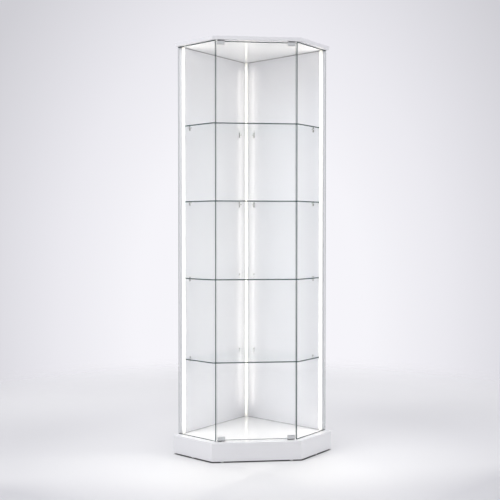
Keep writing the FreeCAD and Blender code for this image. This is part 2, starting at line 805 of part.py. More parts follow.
def clamp(name, end, edge, start):
    """The metal part of a door clamp."""
    profile = clamp_profile(end, edge, "sizes.clamp_pad", "sizes.clamp_plate", "sizes.clamp_web")
    body = prism(name, profile, start, "sizes.clamp_width", "YZ_Plane")
    middle_x = number("sizes.clamp_width") / 2
    corners = [FreeCAD.Vector(middle_x, number(y), number(z)) for y, z in profile[2:4]]
    return break_edges(body, "sizes.clamp_edge", corners)


def soft_pad(name, end, edge, start):
    """The soft pad between a door clamp and the glass."""
    profile = clamp_profile(end, edge, "0", "sizes.clamp_pad", "sizes.clamp_pad")
    return prism(name, profile, start, "sizes.clamp_width", "YZ_Plane")


def grub_screws(name, play, end, edge, start):
    """Two clamping screws through the inner cheek of a clamp, or their holes."""
    level = f"{edge} - ({end}) * (sizes.clamp_reach - sizes.clamp_pad) / 2"
    members = []
    for index, step in ((1, -1), (2, 1)):
        across = f"{start} + (sizes.clamp_width + ({step}) * sizes.grub_spacing) / 2"
        members.append(
            cylinder(
                f"{name}_{index}",
                f"sizes.grub_radius + ({play})",
                "sizes.clamp_plate",
                (across, CLAMP_BACK_Y, level),
                FreeCAD.Vector(0, 1, 0),
            )
        )
    return members


def bush(name, end, face):
    """A flanged bush with a closed end, let into a board."""
    pivot = (PIVOT_X, PIVOT_Y)
    start = f"{face} - ({end}) * {BUSH_FLANGE}"
    sleeve = upright(name + "_sleeve", BUSH_RADIUS, pivot, end, start, f"{BUSH_FLANGE} + {BUSH_DEPTH}")
    flange = upright(name + "_flange", "sizes.bush_flange_radius", pivot, end, start, BUSH_FLANGE)
    bore_radius = "sizes.pivot_radius + sizes.pivot_play"
    bore = upright(name + "_bore", bore_radius, pivot, end, start, f"{BUSH_FLANGE} + {BUSH_BORE_DEPTH}")
    return cut(name + "_turned", fuse(name + "_blank", [sleeve, flange]), bore)


door_pane = block(
    "door_pane",
    (f"0 - {DOOR_HALF}", f"2 * {DOOR_HALF}"),
    (DOOR_Y, "sizes.door_pane"),
    (DOOR_LOW, f"{DOOR_TOP} - {DOOR_LOW}"),
)
keep(ground_glass("door_arris", door_pane), "door_glass")
pads = []
grubs = []
for end_name, end, face, edge in ENDS:
    pin_start = f"{edge} + ({end}) * sizes.clamp_pad"
    pin_length = "sizes.door_end_gap - sizes.clamp_pad + sizes.pivot_depth"
    pin_place = (PIVOT_X, PIVOT_Y)
    pin = upright(f"pin_{end_name}", "sizes.pivot_radius", pin_place, end, pin_start, pin_length)
    keep(pin, f"hinge_pin_{end_name}")
    keep(bush(f"bush_{end_name}", end, face), f"hinge_bush_{end_name}")
    pin_hole = upright(
        f"pin_hole_{end_name}",
        "sizes.pivot_radius + sizes.hole_play",
        pin_place,
        end,
        pin_start,
        "sizes.clamp_web",
    )
    for role, start, more_holes in (
        ("hinge", HINGE_CLAMP_X, [pin_hole]),
        ("strike", STRIKE_CLAMP_X, []),
    ):
        name = f"{role}_{end_name}"
        holes = grub_screws(f"{name}_grub_hole", "sizes.hole_play", end, edge, start)
        metal = clamp(f"{name}_metal", end, edge, start)
        drilling = group(f"{name}_holes", holes + more_holes)
        keep(cut(f"{name}_drilled", metal, drilling), f"{role}_clamp_{end_name}")
        pads.append(soft_pad(f"{name}_pad", end, edge, start))
        grubs += grub_screws(f"{name}_grub", "0", end, edge, start)
keep(group("clamp_pad_set", pads), "clamp_pads")
keep(group("grub_screw_set", grubs), "clamp_screws")

# ---------------------------------------------------------------------------------------------
# Magnetic catches behind the strike clamps
# ---------------------------------------------------------------------------------------------


def catch_barrel(name, play, end, face):
    """Barrel of a magnetic catch in its board, or its hole."""
    place = (CATCH_X, f"{CATCH_Y} + sizes.catch_depth / 2")
    length = f"sizes.catch_barrel_length + ({play})"
    return upright(name, f"sizes.catch_barrel_radius + ({play})", place, end, face, length)


def magnet(name, play, end, face):
    """Round magnet in the front face of a catch, or its pocket."""
    return cylinder(
        name,
        f"sizes.magnet_radius + ({play})",
        f"sizes.magnet_depth + ({play})",
        (CATCH_X, CATCH_Y, f"{face} - ({end}) * sizes.catch_rise / 2"),
        FreeCAD.Vector(0, 1, 0),
    )


magnets = []
for end_name, end, face, edge in ENDS:
    low = face if end < 0 else f"{face} - sizes.catch_rise"
    tab = block(
        f"catch_tab_{end_name}",
        (f"{CATCH_X} - sizes.catch_width / 2", "sizes.catch_width"),
        (CATCH_Y, "sizes.catch_depth"),
        (low, "sizes.catch_rise"),
    )
    barrel = catch_barrel(f"catch_barrel_{end_name}", "0", end, face)
    housing = fuse(f"catch_housing_{end_name}", [tab, barrel])
    pocket = magnet(f"magnet_pocket_{end_name}", "sizes.hole_play", end, face)
    keep(cut(f"catch_{end_name}_cut", housing, pocket), f"magnetic_catch_{end_name}")
    magnets.append(magnet(f"magnet_{end_name}", "0", end, face))
keep(group("magnet_pair", magnets), "catch_magnets")

# ---------------------------------------------------------------------------------------------
# Floor board, top board and back walls, with their holes
# ---------------------------------------------------------------------------------------------


def end_holes(end_name, end, face):
    """Holes in one board for the hinge bush and the catch's barrel."""
    bush_hole = upright(
        f"bush_hole_{end_name}",
        f"{BUSH_RADIUS} + sizes.hole_play",
        (PIVOT_X, PIVOT_Y),
        end,
        face,
        f"{BUSH_DEPTH} + sizes.hole_play",
    )
    return [bush_hole, catch_barrel(f"catch_hole_{end_name}", "sizes.hole_play", end, face)]


floor_blank = prism("floor_blank", PLINTH_INNER, FLOOR_LOW, "sizes.floor_board")
floor_holes = [floor_grooves, cleat_screw_holes, box_screw_holes, lead_holes]
floor_holes += end_holes("floor", -1, FLOOR_TOP)
keep(cut("floor_board_cut", floor_blank, group("floor_board_holes", floor_holes)), "floor_board")

top_blank = prism("top_blank", TOP_OUTER, CEILING, "sizes.top_board")
top_levels = (0, number("sizes.top_board"))
round_edges(top_blank, side_middles(TOP_OUTER, (1, 2, 3), top_levels), "sizes.board_round")
top_holes = [top_grooves, dowel_holes, cam_bolt_holes, *end_holes("top", 1, CEILING)]
keep(cut("top_board_cut", top_blank, group("top_board_holes", top_holes)), "top_board")

WALL_UP = (FLOOR_TOP, ROOM)
WALL_THICK = ("0", "sizes.wall_board")
left_span = ("0", WALL_END)
right_span = ("sizes.wall_board", f"{WALL_END} - sizes.wall_board")
wall_holes = group(
    "wall_holes", [dowel_holes, cam_holes, cam_bolt_holes, corner_screw_holes, *support_holes]
)
left_wall = wall_block("left_wall", LEFT, left_span, WALL_THICK, WALL_UP)
right_wall = wall_block("right_wall", RIGHT, right_span, WALL_THICK, WALL_UP)
keep(cut("left_wall_cut", left_wall, wall_holes), "back_wall_left")
keep(cut("right_wall_cut", right_wall, wall_holes), "back_wall_right")

keep(dowels("dowel", "0"), "wall_dowels")
keep(corner_screws("corner_screw", "0"), "corner_screws")
keep(cut("cam_slotted", cams("cam", "0"), cam_bolt_holes), "cam_housings")
keep(cam_bolts("cam_bolt", "0"), "cam_bolts")

# ---------------------------------------------------------------------------------------------
# Side glass, and the tape that bonds it to the walls' front ends
# ---------------------------------------------------------------------------------------------

PANE_LOW = f"({FLOOR_TOP} - sizes.groove_depth)"
PANE_TOP = f"({CEILING} + sizes.groove_depth - sizes.groove_play)"

for side, side_name in SIDES:
    pane = wall_block(
        f"side_pane_{side_name}",
        side,
        (PANE_FACE, "sizes.side_pane"),
        ("0", "sizes.side_depth"),
        (PANE_LOW, f"{PANE_TOP} - {PANE_LOW}"),
    )
    keep(ground_glass(f"side_arris_{side_name}", pane), f"side_glass_{side_name}")
    tape = wall_block(
        f"bond_tape_{side_name}",
        side,
        (WALL_END, "sizes.bond_tape"),
        ("(sizes.wall_board - sizes.bond_width) / 2", "sizes.bond_width"),
        WALL_UP,
    )
    keep(tape, f"glass_tape_{side_name}")

# ---------------------------------------------------------------------------------------------
# Glass shelves on their supports
# ---------------------------------------------------------------------------------------------


def shelf_outline():
    """A shelf's plan: the cabinet's five sides, clipped at the three light profiles."""
    wall = "(sizes.wall_board + sizes.shelf_wall_gap)"
    light_gap = "sqrt(2) * sizes.shelf_light_gap"
    proud = "sqrt(2) * sizes.corner_proud"
    back_sum = f"(2 * sizes.wall_board + sizes.corner_leg + {proud} + {light_gap})"
    tip = f"({LIGHT_ALONG} - sizes.wall_board - sizes.light_rise - {light_gap})"
    edge = f"({PANE_FACE} - sizes.shelf_side_gap)"
    places = [
        (f"{back_sum} - {wall}", wall),
        (f"{tip} + {wall}", wall),
        (edge, f"{edge} - {tip}"),
        (edge, front_inward(edge, "0 - sizes.shelf_setback")),
    ]
    left = [place_xy(LEFT, *place) for place in places]
    right = [place_xy(RIGHT, *place) for place in reversed(places)]
    return left + right


for index in SHELVES:
    low = f"{FLOOR_TOP} + sizes.shelf_rise_{index}"
    shelf = prism(f"shelf_{index}", shelf_outline(), low, "sizes.shelf_pane")
    keep(break_edges(shelf, "sizes.arris"), f"glass_shelf_{index}")

support_set = []
pad_set = []
for side, spot, middle in SUPPORTS:
    along = (f"{middle} - sizes.support_width / 2", "sizes.support_width")
    leg = wall_block(
        f"support_leg_{spot}",
        side,
        along,
        ("sizes.wall_board", "sizes.support_plate"),
        ("0 - sizes.support_pad - sizes.support_drop", "sizes.support_drop"),
    )
    seat = wall_block(
        f"support_seat_{spot}",
        side,
        along,
        ("sizes.wall_board", "sizes.support_reach"),
        ("0 - sizes.support_pad - sizes.support_plate", "sizes.support_plate"),
    )
    pin = support_pin(f"support_pin_{spot}", side, middle, "0")
    support_set.append(fuse(f"support_{spot}", [leg, seat, pin]))
    pad_set.append(
        wall_block(
            f"support_pad_{spot}",
            side,
            along,
            (
                "sizes.wall_board + sizes.support_plate",
                "sizes.support_reach - sizes.support_plate",
            ),
            ("0 - sizes.support_pad", "sizes.support_pad"),
        )
    )
for index in SHELVES:
    keep(at_shelf(f"supports_{index}", support_set, index), f"shelf_supports_{index}")
shelf_pads = [at_shelf(f"support_pads_{index}", pad_set, index) for index in SHELVES]
keep(group("support_pad_group", shelf_pads), "shelf_pads")

# ---------------------------------------------------------------------------------------------
# Lights: one profile beside each side pane and one in the back corner
# ---------------------------------------------------------------------------------------------

LIGHT_UP = (LIGHT_LOW, LIGHT_LENGTH)
LIGHT_INSIDE = (f"{LIGHT_ALONG} + sizes.light_wall", "sizes.light_width - 2 * sizes.light_wall")
COVER_START = "sizes.wall_board + sizes.channel_rise"
COVER_RISE = "sizes.light_rise - sizes.channel_rise"
CAP_LEVELS = (("low", FLOOR_TOP), ("high", f"{CEILING} - sizes.light_cap"))
caps = []
for side, side_name in SIDES:
    full_along = (LIGHT_ALONG, "sizes.light_width")
    channel_inward = ("sizes.wall_board", "sizes.channel_rise")
    trough_inward = ("sizes.wall_board + sizes.light_wall", "sizes.channel_rise - sizes.light_wall")
    channel = wall_block(f"channel_blank_{side_name}", side, full_along, channel_inward, LIGHT_UP)
    trough = wall_block(f"channel_trough_{side_name}", side, LIGHT_INSIDE, trough_inward, LIGHT_UP)
    keep(cut(f"channel_{side_name}", channel, trough), f"led_channel_{side_name}")
    hood_inward = (COVER_START, COVER_RISE)
    hollow_inward = (COVER_START, f"{COVER_RISE} - sizes.light_wall")
    hood = wall_block(f"cover_blank_{side_name}", side, full_along, hood_inward, LIGHT_UP)
    hollow = wall_block(f"cover_hollow_{side_name}", side, LIGHT_INSIDE, hollow_inward, LIGHT_UP)
    keep(cut(f"cover_{side_name}", hood, hollow), f"led_cover_{side_name}")
    tape_along = (f"{LIGHT_MIDDLE} - sizes.tape_width / 2", "sizes.tape_width")
    tape_inward = ("sizes.wall_board + sizes.light_wall", "sizes.tape_rise")
    tape = wall_block(f"light_tape_{side_name}", side, tape_along, tape_inward, LIGHT_UP)
    keep(tape, f"led_tape_{side_name}")
    for level_name, level in CAP_LEVELS:
        cap_name = f"light_cap_{side_name}_{level_name}"
        cap_inward = ("sizes.wall_board", "sizes.light_rise")
        caps.append(wall_block(cap_name, side, full_along, cap_inward, (level, "sizes.light_cap")))

WINDOW_HALF = "(sizes.corner_window / 2)"
WELL_Y = f"({CORNER_FRONT} + sizes.corner_well)"
COVER_Y = f"({CORNER_FRONT} - sizes.corner_proud)"


def corner_section(window_y):
    """Section of the corner profile, its lit width set in or out to a given y."""
    return [
        ("0", CORNER_Y),
        (f"0 - {CORNER_HALF}", CORNER_FRONT),
        (f"0 - {WINDOW_HALF}", CORNER_FRONT),
        (f"0 - {WINDOW_HALF}", window_y),
        (WINDOW_HALF, window_y),
        (WINDOW_HALF, CORNER_FRONT),
        (CORNER_HALF, CORNER_FRONT),
    ]


keep(prism("corner_channel", corner_section(WELL_Y), *LIGHT_UP), "led_channel_corner")
corner_across = (f"0 - {WINDOW_HALF}", "sizes.corner_window")
corner_cover = block("corner_cover", corner_across, (COVER_Y, "sizes.corner_cover"), LIGHT_UP)
keep(corner_cover, "led_cover_corner")
corner_tape = block(
    "corner_tape",
    ("0 - sizes.tape_width / 2", "sizes.tape_width"),
    (f"{WELL_Y} - sizes.tape_rise", "sizes.tape_rise"),
    LIGHT_UP,
)
keep(corner_tape, "led_tape_corner")
for level_name, level in CAP_LEVELS:
    cap_name = f"light_cap_corner_{level_name}"
    caps.append(prism(cap_name, corner_section(COVER_Y), level, "sizes.light_cap"))
keep(cut("light_caps_drilled", group("light_caps", caps), lead_holes), "led_end_caps")

# ---------------------------------------------------------------------------------------------
# Distributor under the floor board, its screws, the power socket and the leads
# ---------------------------------------------------------------------------------------------

BOX_DEEP = (f"{BOX_Y} - sizes.box_width / 2", "sizes.box_width")
box_body = block(
    "distributor_body",
    ("0 - sizes.box_length / 2", "sizes.box_length"),
    BOX_DEEP,
    (BOX_LOW, "sizes.box_height"),
)
box_ears = block(
    "distributor_ears",
    ("0 - sizes.box_length / 2 - sizes.box_ear", "sizes.box_length + 2 * sizes.box_ear"),
    BOX_DEEP,
    (BOX_EAR_LOW, "sizes.box_ear_height"),
)
box_blank = fuse("distributor_blank", [box_body, box_ears])
keep(cut("distributor_drilled", box_blank, box_screw_holes), "led_distributor")
keep(screws_up("box_screw", box_screw_places(), BOX_SCREW_LOW, "0"), "distributor_screws")


def socket_pin(name, radius, inward):
    """A cylinder on the power socket's axis. The inward span is (start, size)."""
    return wall_pin(name, LEFT, radius, "sizes.socket_along", inward, LEAD_Z)


nut_inward = ("sizes.plinth_board", "sizes.socket_plate")
socket_nut = socket_pin("socket_nut", "sizes.socket_collar", nut_inward)
socket_blank = fuse("socket_blank", [*socket_body("socket", "0"), socket_nut])
socket_opening = socket_pin("socket_opening", "sizes.socket_bore", ("0", "sizes.socket_bore_depth"))
keep(cut("socket_bored", socket_blank, socket_opening), "power_socket")


def point(across, deep, up):
    """A point from three expressions."""
    return FreeCAD.Vector(number(across), number(deep), number(up))


def lead(points, bend, radius):
    """A round lead along straight runs joined by tangent arcs."""
    edges = []
    start = points[0]
    for before, corner, after in zip(points, points[1:], points[2:]):
        back = (before - corner).normalize()
        ahead = (after - corner).normalize()
        half_turn = (math.pi - back.getAngle(ahead)) / 2
        reach = bend * math.tan(half_turn)
        bisector = (back + ahead).normalize()
        first = corner + back * reach
        middle = corner + bisector * (bend / math.cos(half_turn) - bend)
        last = corner + ahead * reach
        edges.append(Part.LineSegment(start, first).toShape())
        edges.append(Part.Arc(first, middle, last).toShape())
        start = last
    edges.append(Part.LineSegment(start, points[-1]).toShape())
    path = Part.Wire(edges)
    section = Part.Wire([Part.makeCircle(radius, points[0], points[1] - points[0])])
    tube = path.makePipeShell([section], True, False)
    expected = math.pi * radius**2 * path.Length
    print(f"lead: length {path.Length:.1f}, bend radius {bend:g}, volume {tube.Volume / expected:.4f}")
    return tube


LEAD_TOP = f"{LIGHT_LOW} + sizes.lead_overlap"
BOX_BACK = f"{BOX_Y} + sizes.box_width / 2"
socket_x, socket_y = place_xy(LEFT, "sizes.socket_along", SOCKET_INSIDE)
supply_x = "0 - sizes.supply_offset"
supply_turn_y = f"{socket_y} - (0 - sizes.supply_offset - ({socket_x}))"
lead_paths = [
    [
        point(*place, LEAD_TOP),
        point(*place, LEAD_Z),
        point(f"({side}) * sizes.box_length / 2", BOX_Y, LEAD_Z),
    ]
    for (side, _), place in zip(SIDES, LEAD_PLACES)
]
lead_paths.append(
    [
        point("0", CORNER_LEAD_Y, LEAD_TOP),
        point("0", CORNER_LEAD_Y, LEAD_Z),
        point("0", BOX_BACK, LEAD_Z),
    ]
)
lead_paths.append(
    [
        point(socket_x, socket_y, LEAD_Z),
        point(supply_x, supply_turn_y, LEAD_Z),
        point(supply_x, BOX_BACK, LEAD_Z),
    ]
)
bend_radius = number("sizes.lead_bend")
lead_size = number("sizes.lead_radius")
leads = doc.addObject("Part::Feature", "lead_set")
leads.Shape = Part.makeCompound([lead(path, bend_radius, lead_size) for path in lead_paths])
leads.Placement = FreeCAD.Placement()
keep(leads, "led_leads")

# ---------------------------------------------------------------------------------------------
# Check every object, then write one file per sub-part
# ---------------------------------------------------------------------------------------------

doc.recompute()
for item in doc.Objects:
    if "Invalid" in item.State or "Error" in item.State:
        raise RuntimeError(f"{item.Name} failed: {item.State}")
for item in nodes:
    if item.Shape.isNull() or not item.Shape.isValid() or not item.Shape.Solids:
        raise RuntimeError(f"{item.Label} has no valid solid")

os.makedirs("parts", exist_ok=True)
whole = FreeCAD.BoundBox()
for item in nodes:
    item.Shape.exportStep(f"parts/{item.Label}.step")
    whole.add(item.Shape.BoundBox)
print(f"{len(nodes)} sub-parts")
print(f"x {whole.XMin:.3f} to {whole.XMax:.3f}")
print(f"y {whole.YMin:.3f} to {whole.YMax:.3f}")
print(f"z {whole.ZMin:.3f} to {whole.ZMax:.3f}")
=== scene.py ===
import math

import bmesh
import bpy
from mathutils import Matrix, Vector


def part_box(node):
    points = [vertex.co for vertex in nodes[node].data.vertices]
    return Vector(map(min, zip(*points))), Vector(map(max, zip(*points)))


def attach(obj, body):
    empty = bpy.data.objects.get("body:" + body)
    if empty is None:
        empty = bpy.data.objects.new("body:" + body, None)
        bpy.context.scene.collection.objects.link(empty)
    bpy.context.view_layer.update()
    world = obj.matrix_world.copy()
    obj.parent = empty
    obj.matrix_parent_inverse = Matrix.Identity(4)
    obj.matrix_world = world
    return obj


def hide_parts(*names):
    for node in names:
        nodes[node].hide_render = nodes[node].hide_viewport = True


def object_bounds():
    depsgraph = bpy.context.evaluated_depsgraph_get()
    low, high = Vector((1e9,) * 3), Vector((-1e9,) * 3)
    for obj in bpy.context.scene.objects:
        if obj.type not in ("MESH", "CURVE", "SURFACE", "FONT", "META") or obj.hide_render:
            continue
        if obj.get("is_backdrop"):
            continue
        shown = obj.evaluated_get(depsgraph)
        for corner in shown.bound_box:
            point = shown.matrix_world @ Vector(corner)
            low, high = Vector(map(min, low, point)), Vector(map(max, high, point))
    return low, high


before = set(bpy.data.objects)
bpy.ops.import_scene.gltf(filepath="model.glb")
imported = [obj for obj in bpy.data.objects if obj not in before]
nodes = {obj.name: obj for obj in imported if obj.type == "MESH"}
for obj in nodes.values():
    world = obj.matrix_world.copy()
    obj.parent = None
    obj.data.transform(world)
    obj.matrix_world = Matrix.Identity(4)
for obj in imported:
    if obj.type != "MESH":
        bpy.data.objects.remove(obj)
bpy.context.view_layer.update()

# ---------------------------------------------------------------------------------------------
# Camera: a 58 mm lens a little left of the cabinet's middle, at half its height, looking slightly
# down and to the right. It has no shift and no depth of field.
# ---------------------------------------------------------------------------------------------
camera_data = bpy.data.cameras.new("camera")
camera_data.sensor_width = 36
camera_data.lens = 57.97
camera = bpy.data.objects.new("camera", camera_data)
camera.location = (-0.3728, -3.6320, 0.9785)
camera.rotation_euler = (math.radians(90) - 0.02323, 0, -0.10111)
bpy.context.scene.collection.objects.link(camera)
bpy.context.scene.camera = camera
bpy.context.scene.view_settings.view_transform = "Standard"

# ---------------------------------------------------------------------------------------------
# Studio: a satin floor that runs without a seam into a pale backdrop, lit evenly from all round,
# with a large soft lamp above on the left, a weaker one on the right and one overhead in front.
# ---------------------------------------------------------------------------------------------


class Wire:
    """A node's output. Sums on it add Math nodes."""

    def __init__(self, finish, socket):
        self.finish = finish
        self.socket = socket

    def math(self, operation, *values):
        entries = dict(enumerate(values))
        return self.finish.node("ShaderNodeMath", {"operation": operation}, entries)

    def __add__(self, other):
        return self.math("ADD", self, other)

    def __sub__(self, other):
        return self.math("SUBTRACT", self, other)

    def __mul__(self, other):
        return self.math("MULTIPLY", self, other)

    def __truediv__(self, other):
        return self.math("DIVIDE", self, other)

    def __pow__(self, other):
        return self.math("POWER", self, other)

    def __mod__(self, other):
        return self.math("FLOORED_MODULO", self, other)

    def __gt__(self, other):
        return self.math("GREATER_THAN", self, other)

    def __lt__(self, other):
        return self.math("LESS_THAN", self, other)

    def __rsub__(self, other):
        return self.math("SUBTRACT", other, self)

    def __abs__(self):
        return self.math("ABSOLUTE", self)

    def capped(self):
        """At most one."""
        return self.math("MINIMUM", self, 1.0)

    __radd__ = __add__
    __rmul__ = __mul__


class Finish:
    """The node tree of a material or of the world."""

    def __init__(self, owner):
        owner.use_nodes = True
        self.owner = owner
        self.tree = owner.node_tree
        self.tree.nodes.clear()

    def node(self, kind, settings=None, sockets=None, output=0):
        """Add a node: first its settings, then its sockets' values or links."""
        made = self.tree.nodes.new(kind)
        for key, value in (settings or {}).items():
            if key == "stops":
                ramp = made.color_ramp
                while len(ramp.elements) < len(value):
                    ramp.elements.new(0.5)
                for element, (place, shade) in zip(ramp.elements, value):
                    element.position = place
                    element.color = (*shade, 1)
            else:
                setattr(made, key, value)
        for key, value in (sockets or {}).items():
            if isinstance(value, Wire):
                self.tree.links.new(value.socket, made.inputs[key])
            else:
                made.inputs[key].default_value = value
        return Wire(self, made.outputs[output]) if made.outputs else made

    def spot(self, stretch=(1, 1, 1), turn=(0, 0, 0)):
        """Object coordinates, turned and stretched."""
        where = self.node("ShaderNodeTexCoord", output="Object")
        if stretch == (1, 1, 1) and turn == (0, 0, 0):
            return where
        return self.node("ShaderNodeMapping", None, {0: where, "Rotation": turn, "Scale": stretch})

    def parts(self, vector):
        """The three parts of a vector."""
        cut = self.node("ShaderNodeSeparateXYZ", None, {0: vector})
        return [Wire(self, entry) for entry in cut.socket.node.outputs]

    def noise(self, vector, scale, detail=2):
        settings = {"Vector": vector, "Scale": scale, "Detail": detail, "Roughness": 0.5}
        return self.node("ShaderNodeTexNoise", None, settings)

    def spread(self, value, low, high, to_low=0, to_high=1):
        """A value eased from one range to another."""
        sockets = {0: value, 1: low, 2: high, 3: to_low, 4: to_high}
        return self.node("ShaderNodeMapRange", {"interpolation_type": "SMOOTHSTEP"}, sockets)

    def blend(self, amount, first, second):
        """One colour over another, by an amount."""
        sockets = {0: amount, 6: first, 7: second}
        return self.node("ShaderNodeMix", {"data_type": "RGBA"}, sockets, output=2)

    def bump(self, height, distance, strength):
        sockets = {"Height": height, "Distance": distance, "Strength": strength}
        return self.node("ShaderNodeBump", None, sockets)

    def shader(self, **sockets):
        """The main shader. Names of sockets are written with underscores."""
        named = {key.replace("_", " "): value for key, value in sockets.items()}
        return self.node("ShaderNodeBsdfPrincipled", None, named)

    def done(self, shader):
        self.node("ShaderNodeOutputMaterial", None, {"Surface": shader})
        return self.owner


def new_finish(name):
    return Finish(bpy.data.materials.new(name))


def dress(names, material):
    """Give CAD nodes a finish, in the slots that they have."""
    for name in names:
        for place in nodes[name].material_slots:
            place.material = material


FLOOR_REACH = 3.0
PLINTH_FRONT, PLINTH_SIDE, PLINTH_BACK, SHADOW_REACH = -0.2535, 0.4445, 0.2536, 0.008
bpy.ops.object.select_all(action="DESELECT")
bpy.ops.mesh.primitive_circle_add(vertices=96, radius=FLOOR_REACH, fill_type="NGON")
floor = bpy.context.object
floor.name = "studio_floor"
floor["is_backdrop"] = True
satin = new_finish("studio_floor")
across, deep, up = satin.parts(satin.spot())
away = (across * across + (deep + 0.1) * (deep + 0.1)) ** 0.5
fade = satin.spread(away, 1.4, 2.8)
near = satin.spread(away, 0.25, 0.55)
# Painted light and shade: the floor's colour is palest round the cabinet, and darker further off
# and towards the camera.
tone = 0.50 * satin.spread(away, 0.5, 1.15) * satin.spread(deep, 1.2, 0.2, 0.1, 1)
tone = tone + 0.50 * satin.spread(deep, -0.36, -0.76)
tone = tone + 0.35 * satin.spread(away, 0.85, 1.15) * satin.spread(deep, -0.35, -0.60)
# Painted shade and light: the colour is a little darker close round the cabinet and paler to its
# left and right.
open_floor = satin.blend(near, (0.81, 0.81, 0.81, 1), (0.86, 0.86, 0.86, 1))
aside = satin.spread(abs(across), 0.2, 0.5)
open_floor = satin.blend(aside, open_floor, (0.90, 0.90, 0.90, 1))
open_floor = satin.blend(tone, open_floor, (0.62, 0.62, 0.64, 1))
# A painted contact shadow: the floor is painted dark in the low gap under the plinth, fading out
# just beyond its edges.
slanted_reach = SHADOW_REACH * math.sqrt(2)
in_front = satin.spread(deep, PLINTH_FRONT - SHADOW_REACH, PLINTH_FRONT)
beside = satin.spread(abs(across) - deep, PLINTH_SIDE + slanted_reach, PLINTH_SIDE)
painted_contact_shadow = in_front * beside * (abs(across) + deep < PLINTH_BACK)
floor_colour = satin.blend(painted_contact_shadow, open_floor, (0.06, 0.06, 0.06, 1))
floor_shader = satin.shader(Base_Color=floor_colour, Roughness=0.36, Specular_IOR_Level=0.4)
clear = satin.node("ShaderNodeBsdfTransparent")
below = satin.node("ShaderNodeNewGeometry", output="Backfacing")
hidden = fade.math("MAXIMUM", fade, below)
floor.data.materials.append(
    satin.done(satin.node("ShaderNodeMixShader", None, {0: hidden, 1: floor_shader, 2: clear}))
)

bpy.ops.object.select_all(action="DESELECT")
bpy.ops.mesh.primitive_uv_sphere_add(segments=96, ring_count=48, radius=7)
bpy.ops.object.shade_smooth()
backdrop = bpy.context.object
backdrop.name = "studio_backdrop"
backdrop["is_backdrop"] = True
backdrop.visible_diffuse = False
backdrop.visible_shadow = False
paper = new_finish("studio_backdrop")
wide = paper.spot(stretch=(1.16, 1, 0.70))
ahead = paper.node("ShaderNodeVectorMath", {"operation": "NORMALIZE"}, {0: wide})
# The backdrop's glow is a painted pool of light, palest round this direction, behind the cabinet,
# with painted shade round it.
middle = (0.1176, 0.9930, -0.0140)
facing = paper.node(
    "ShaderNodeVectorMath", {"operation": "DOT_PRODUCT"}, {0: ahead, 1: middle}, output=1
)
angle = facing.math("ARCCOSINE", facing) / math.pi
painted_light_falloff = paper.node(
    "ShaderNodeValToRGB",
    {
        "stops": [
            (0.00, (0.930, 0.922, 0.965)),
            (0.08, (0.920, 0.912, 0.955)),
            (0.13, (0.830, 0.822, 0.870)),
            (0.155, (0.765, 0.758, 0.805)),
            (0.205, (0.625, 0.620, 0.660)),
            (0.36, (0.560, 0.560, 0.595)),
            (0.60, (0.720, 0.720, 0.740)),
            (1.00, (0.800, 0.800, 0.820)),
        ]
    },
    {0: angle},
)
backdrop.data.materials.append(
    paper.done(paper.node("ShaderNodeEmission", None, {"Color": painted_light_falloff, "Strength": 1}))
)

world = bpy.data.worlds.new("studio_world")
bpy.context.scene.world = world
sky = Finish(world)
across, deep, up = sky.parts(sky.node("ShaderNodeTexCoord"))
front = sky.spread(deep, 0.2, -1.0)
sky_colour = sky.blend(front, (0.73, 0.73, 0.76, 1), (0.40, 0.40, 0.42, 1))
sky_light = sky.node("ShaderNodeBackground", None, {"Color": sky_colour, "Strength": 1})
sky.node("ShaderNodeOutputWorld", None, {"Surface": sky_light})

LAMP_AIM_HEIGHT = 0.9
for lamp_name, place, width, power in (
    ("lamp_left", (-3.0, -1.9, 3.2), 2.0, 52),
    ("lamp_right", (3.2, -1.0, 2.6), 2.0, 26),
    ("lamp_top", (0.0, -1.3, 4.2), 2.6, 29),
):
    lamp_data = bpy.data.lights.new(lamp_name, "AREA")
    lamp_data.size = width
    lamp_data.energy = power
    lamp_data.color = (0.985, 0.982, 1.0)
    lamp = bpy.data.objects.new(lamp_name, lamp_data)
    lamp.location = place
    aim = lamp.location.copy()
    aim.z -= LAMP_AIM_HEIGHT
    lamp.rotation_euler = aim.to_track_quat("Z", "Y").to_euler()
    bpy.context.scene.collection.objects.link(lamp)

# ---------------------------------------------------------------------------------------------
# Plinth: five boards of 16 mm MDF on edge, mitred, faced and edged in white and lacquered to a
# gloss. Dowels and glue hold the mitres.
# ---------------------------------------------------------------------------------------------


def gloss_board(name, low, high, joints=None, coat=(0.4, 0.06)):
    """White gloss lacquer on a board: a slow drift of tone and a faint orange peel.

    joints are the heights beyond which the lacquer is painted dark, as painted shade in the joint
    to the next board, and coat is the weight and the roughness of the polished top coat.
    """
    finish = new_finish(name)
    where = finish.spot()
    drift = finish.noise(where, 4.0)
    peel = finish.noise(where, 330.0, 1)
    wear = finish.noise(where, 26.0, 4)
    colour = finish.blend(drift, low, high)
    if joints:
        across, deep, up = finish.parts(where)
        # Painted shade: beyond the joints' heights the lacquer is painted dark.
        painted_joint_shade = (up < joints[0]) + (up > joints[1])
        colour = finish.blend(painted_joint_shade, colour, (0.16, 0.155, 0.155, 1))
    return finish.done(
        finish.shader(
            Base_Color=colour,
            Roughness=0.10 + 0.07 * wear,
            Normal=finish.bump(peel, 0.00002, 0.35),
            Coat_Weight=coat[0],
            Coat_Roughness=coat[1],
        )
    )


white_board = gloss_board("white_gloss_board", (0.85, 0.85, 0.87, 1), (0.88, 0.88, 0.895, 1))
dress(
    ["plinth_front", "plinth_left", "plinth_right", "plinth_back_left", "plinth_back_right"],
    white_board,
)

# ---------------------------------------------------------------------------------------------
# Glides: moulded nylon discs, pressed onto the plinth boards' lower edges, which keep the board
# edges off a damp floor.
# ---------------------------------------------------------------------------------------------


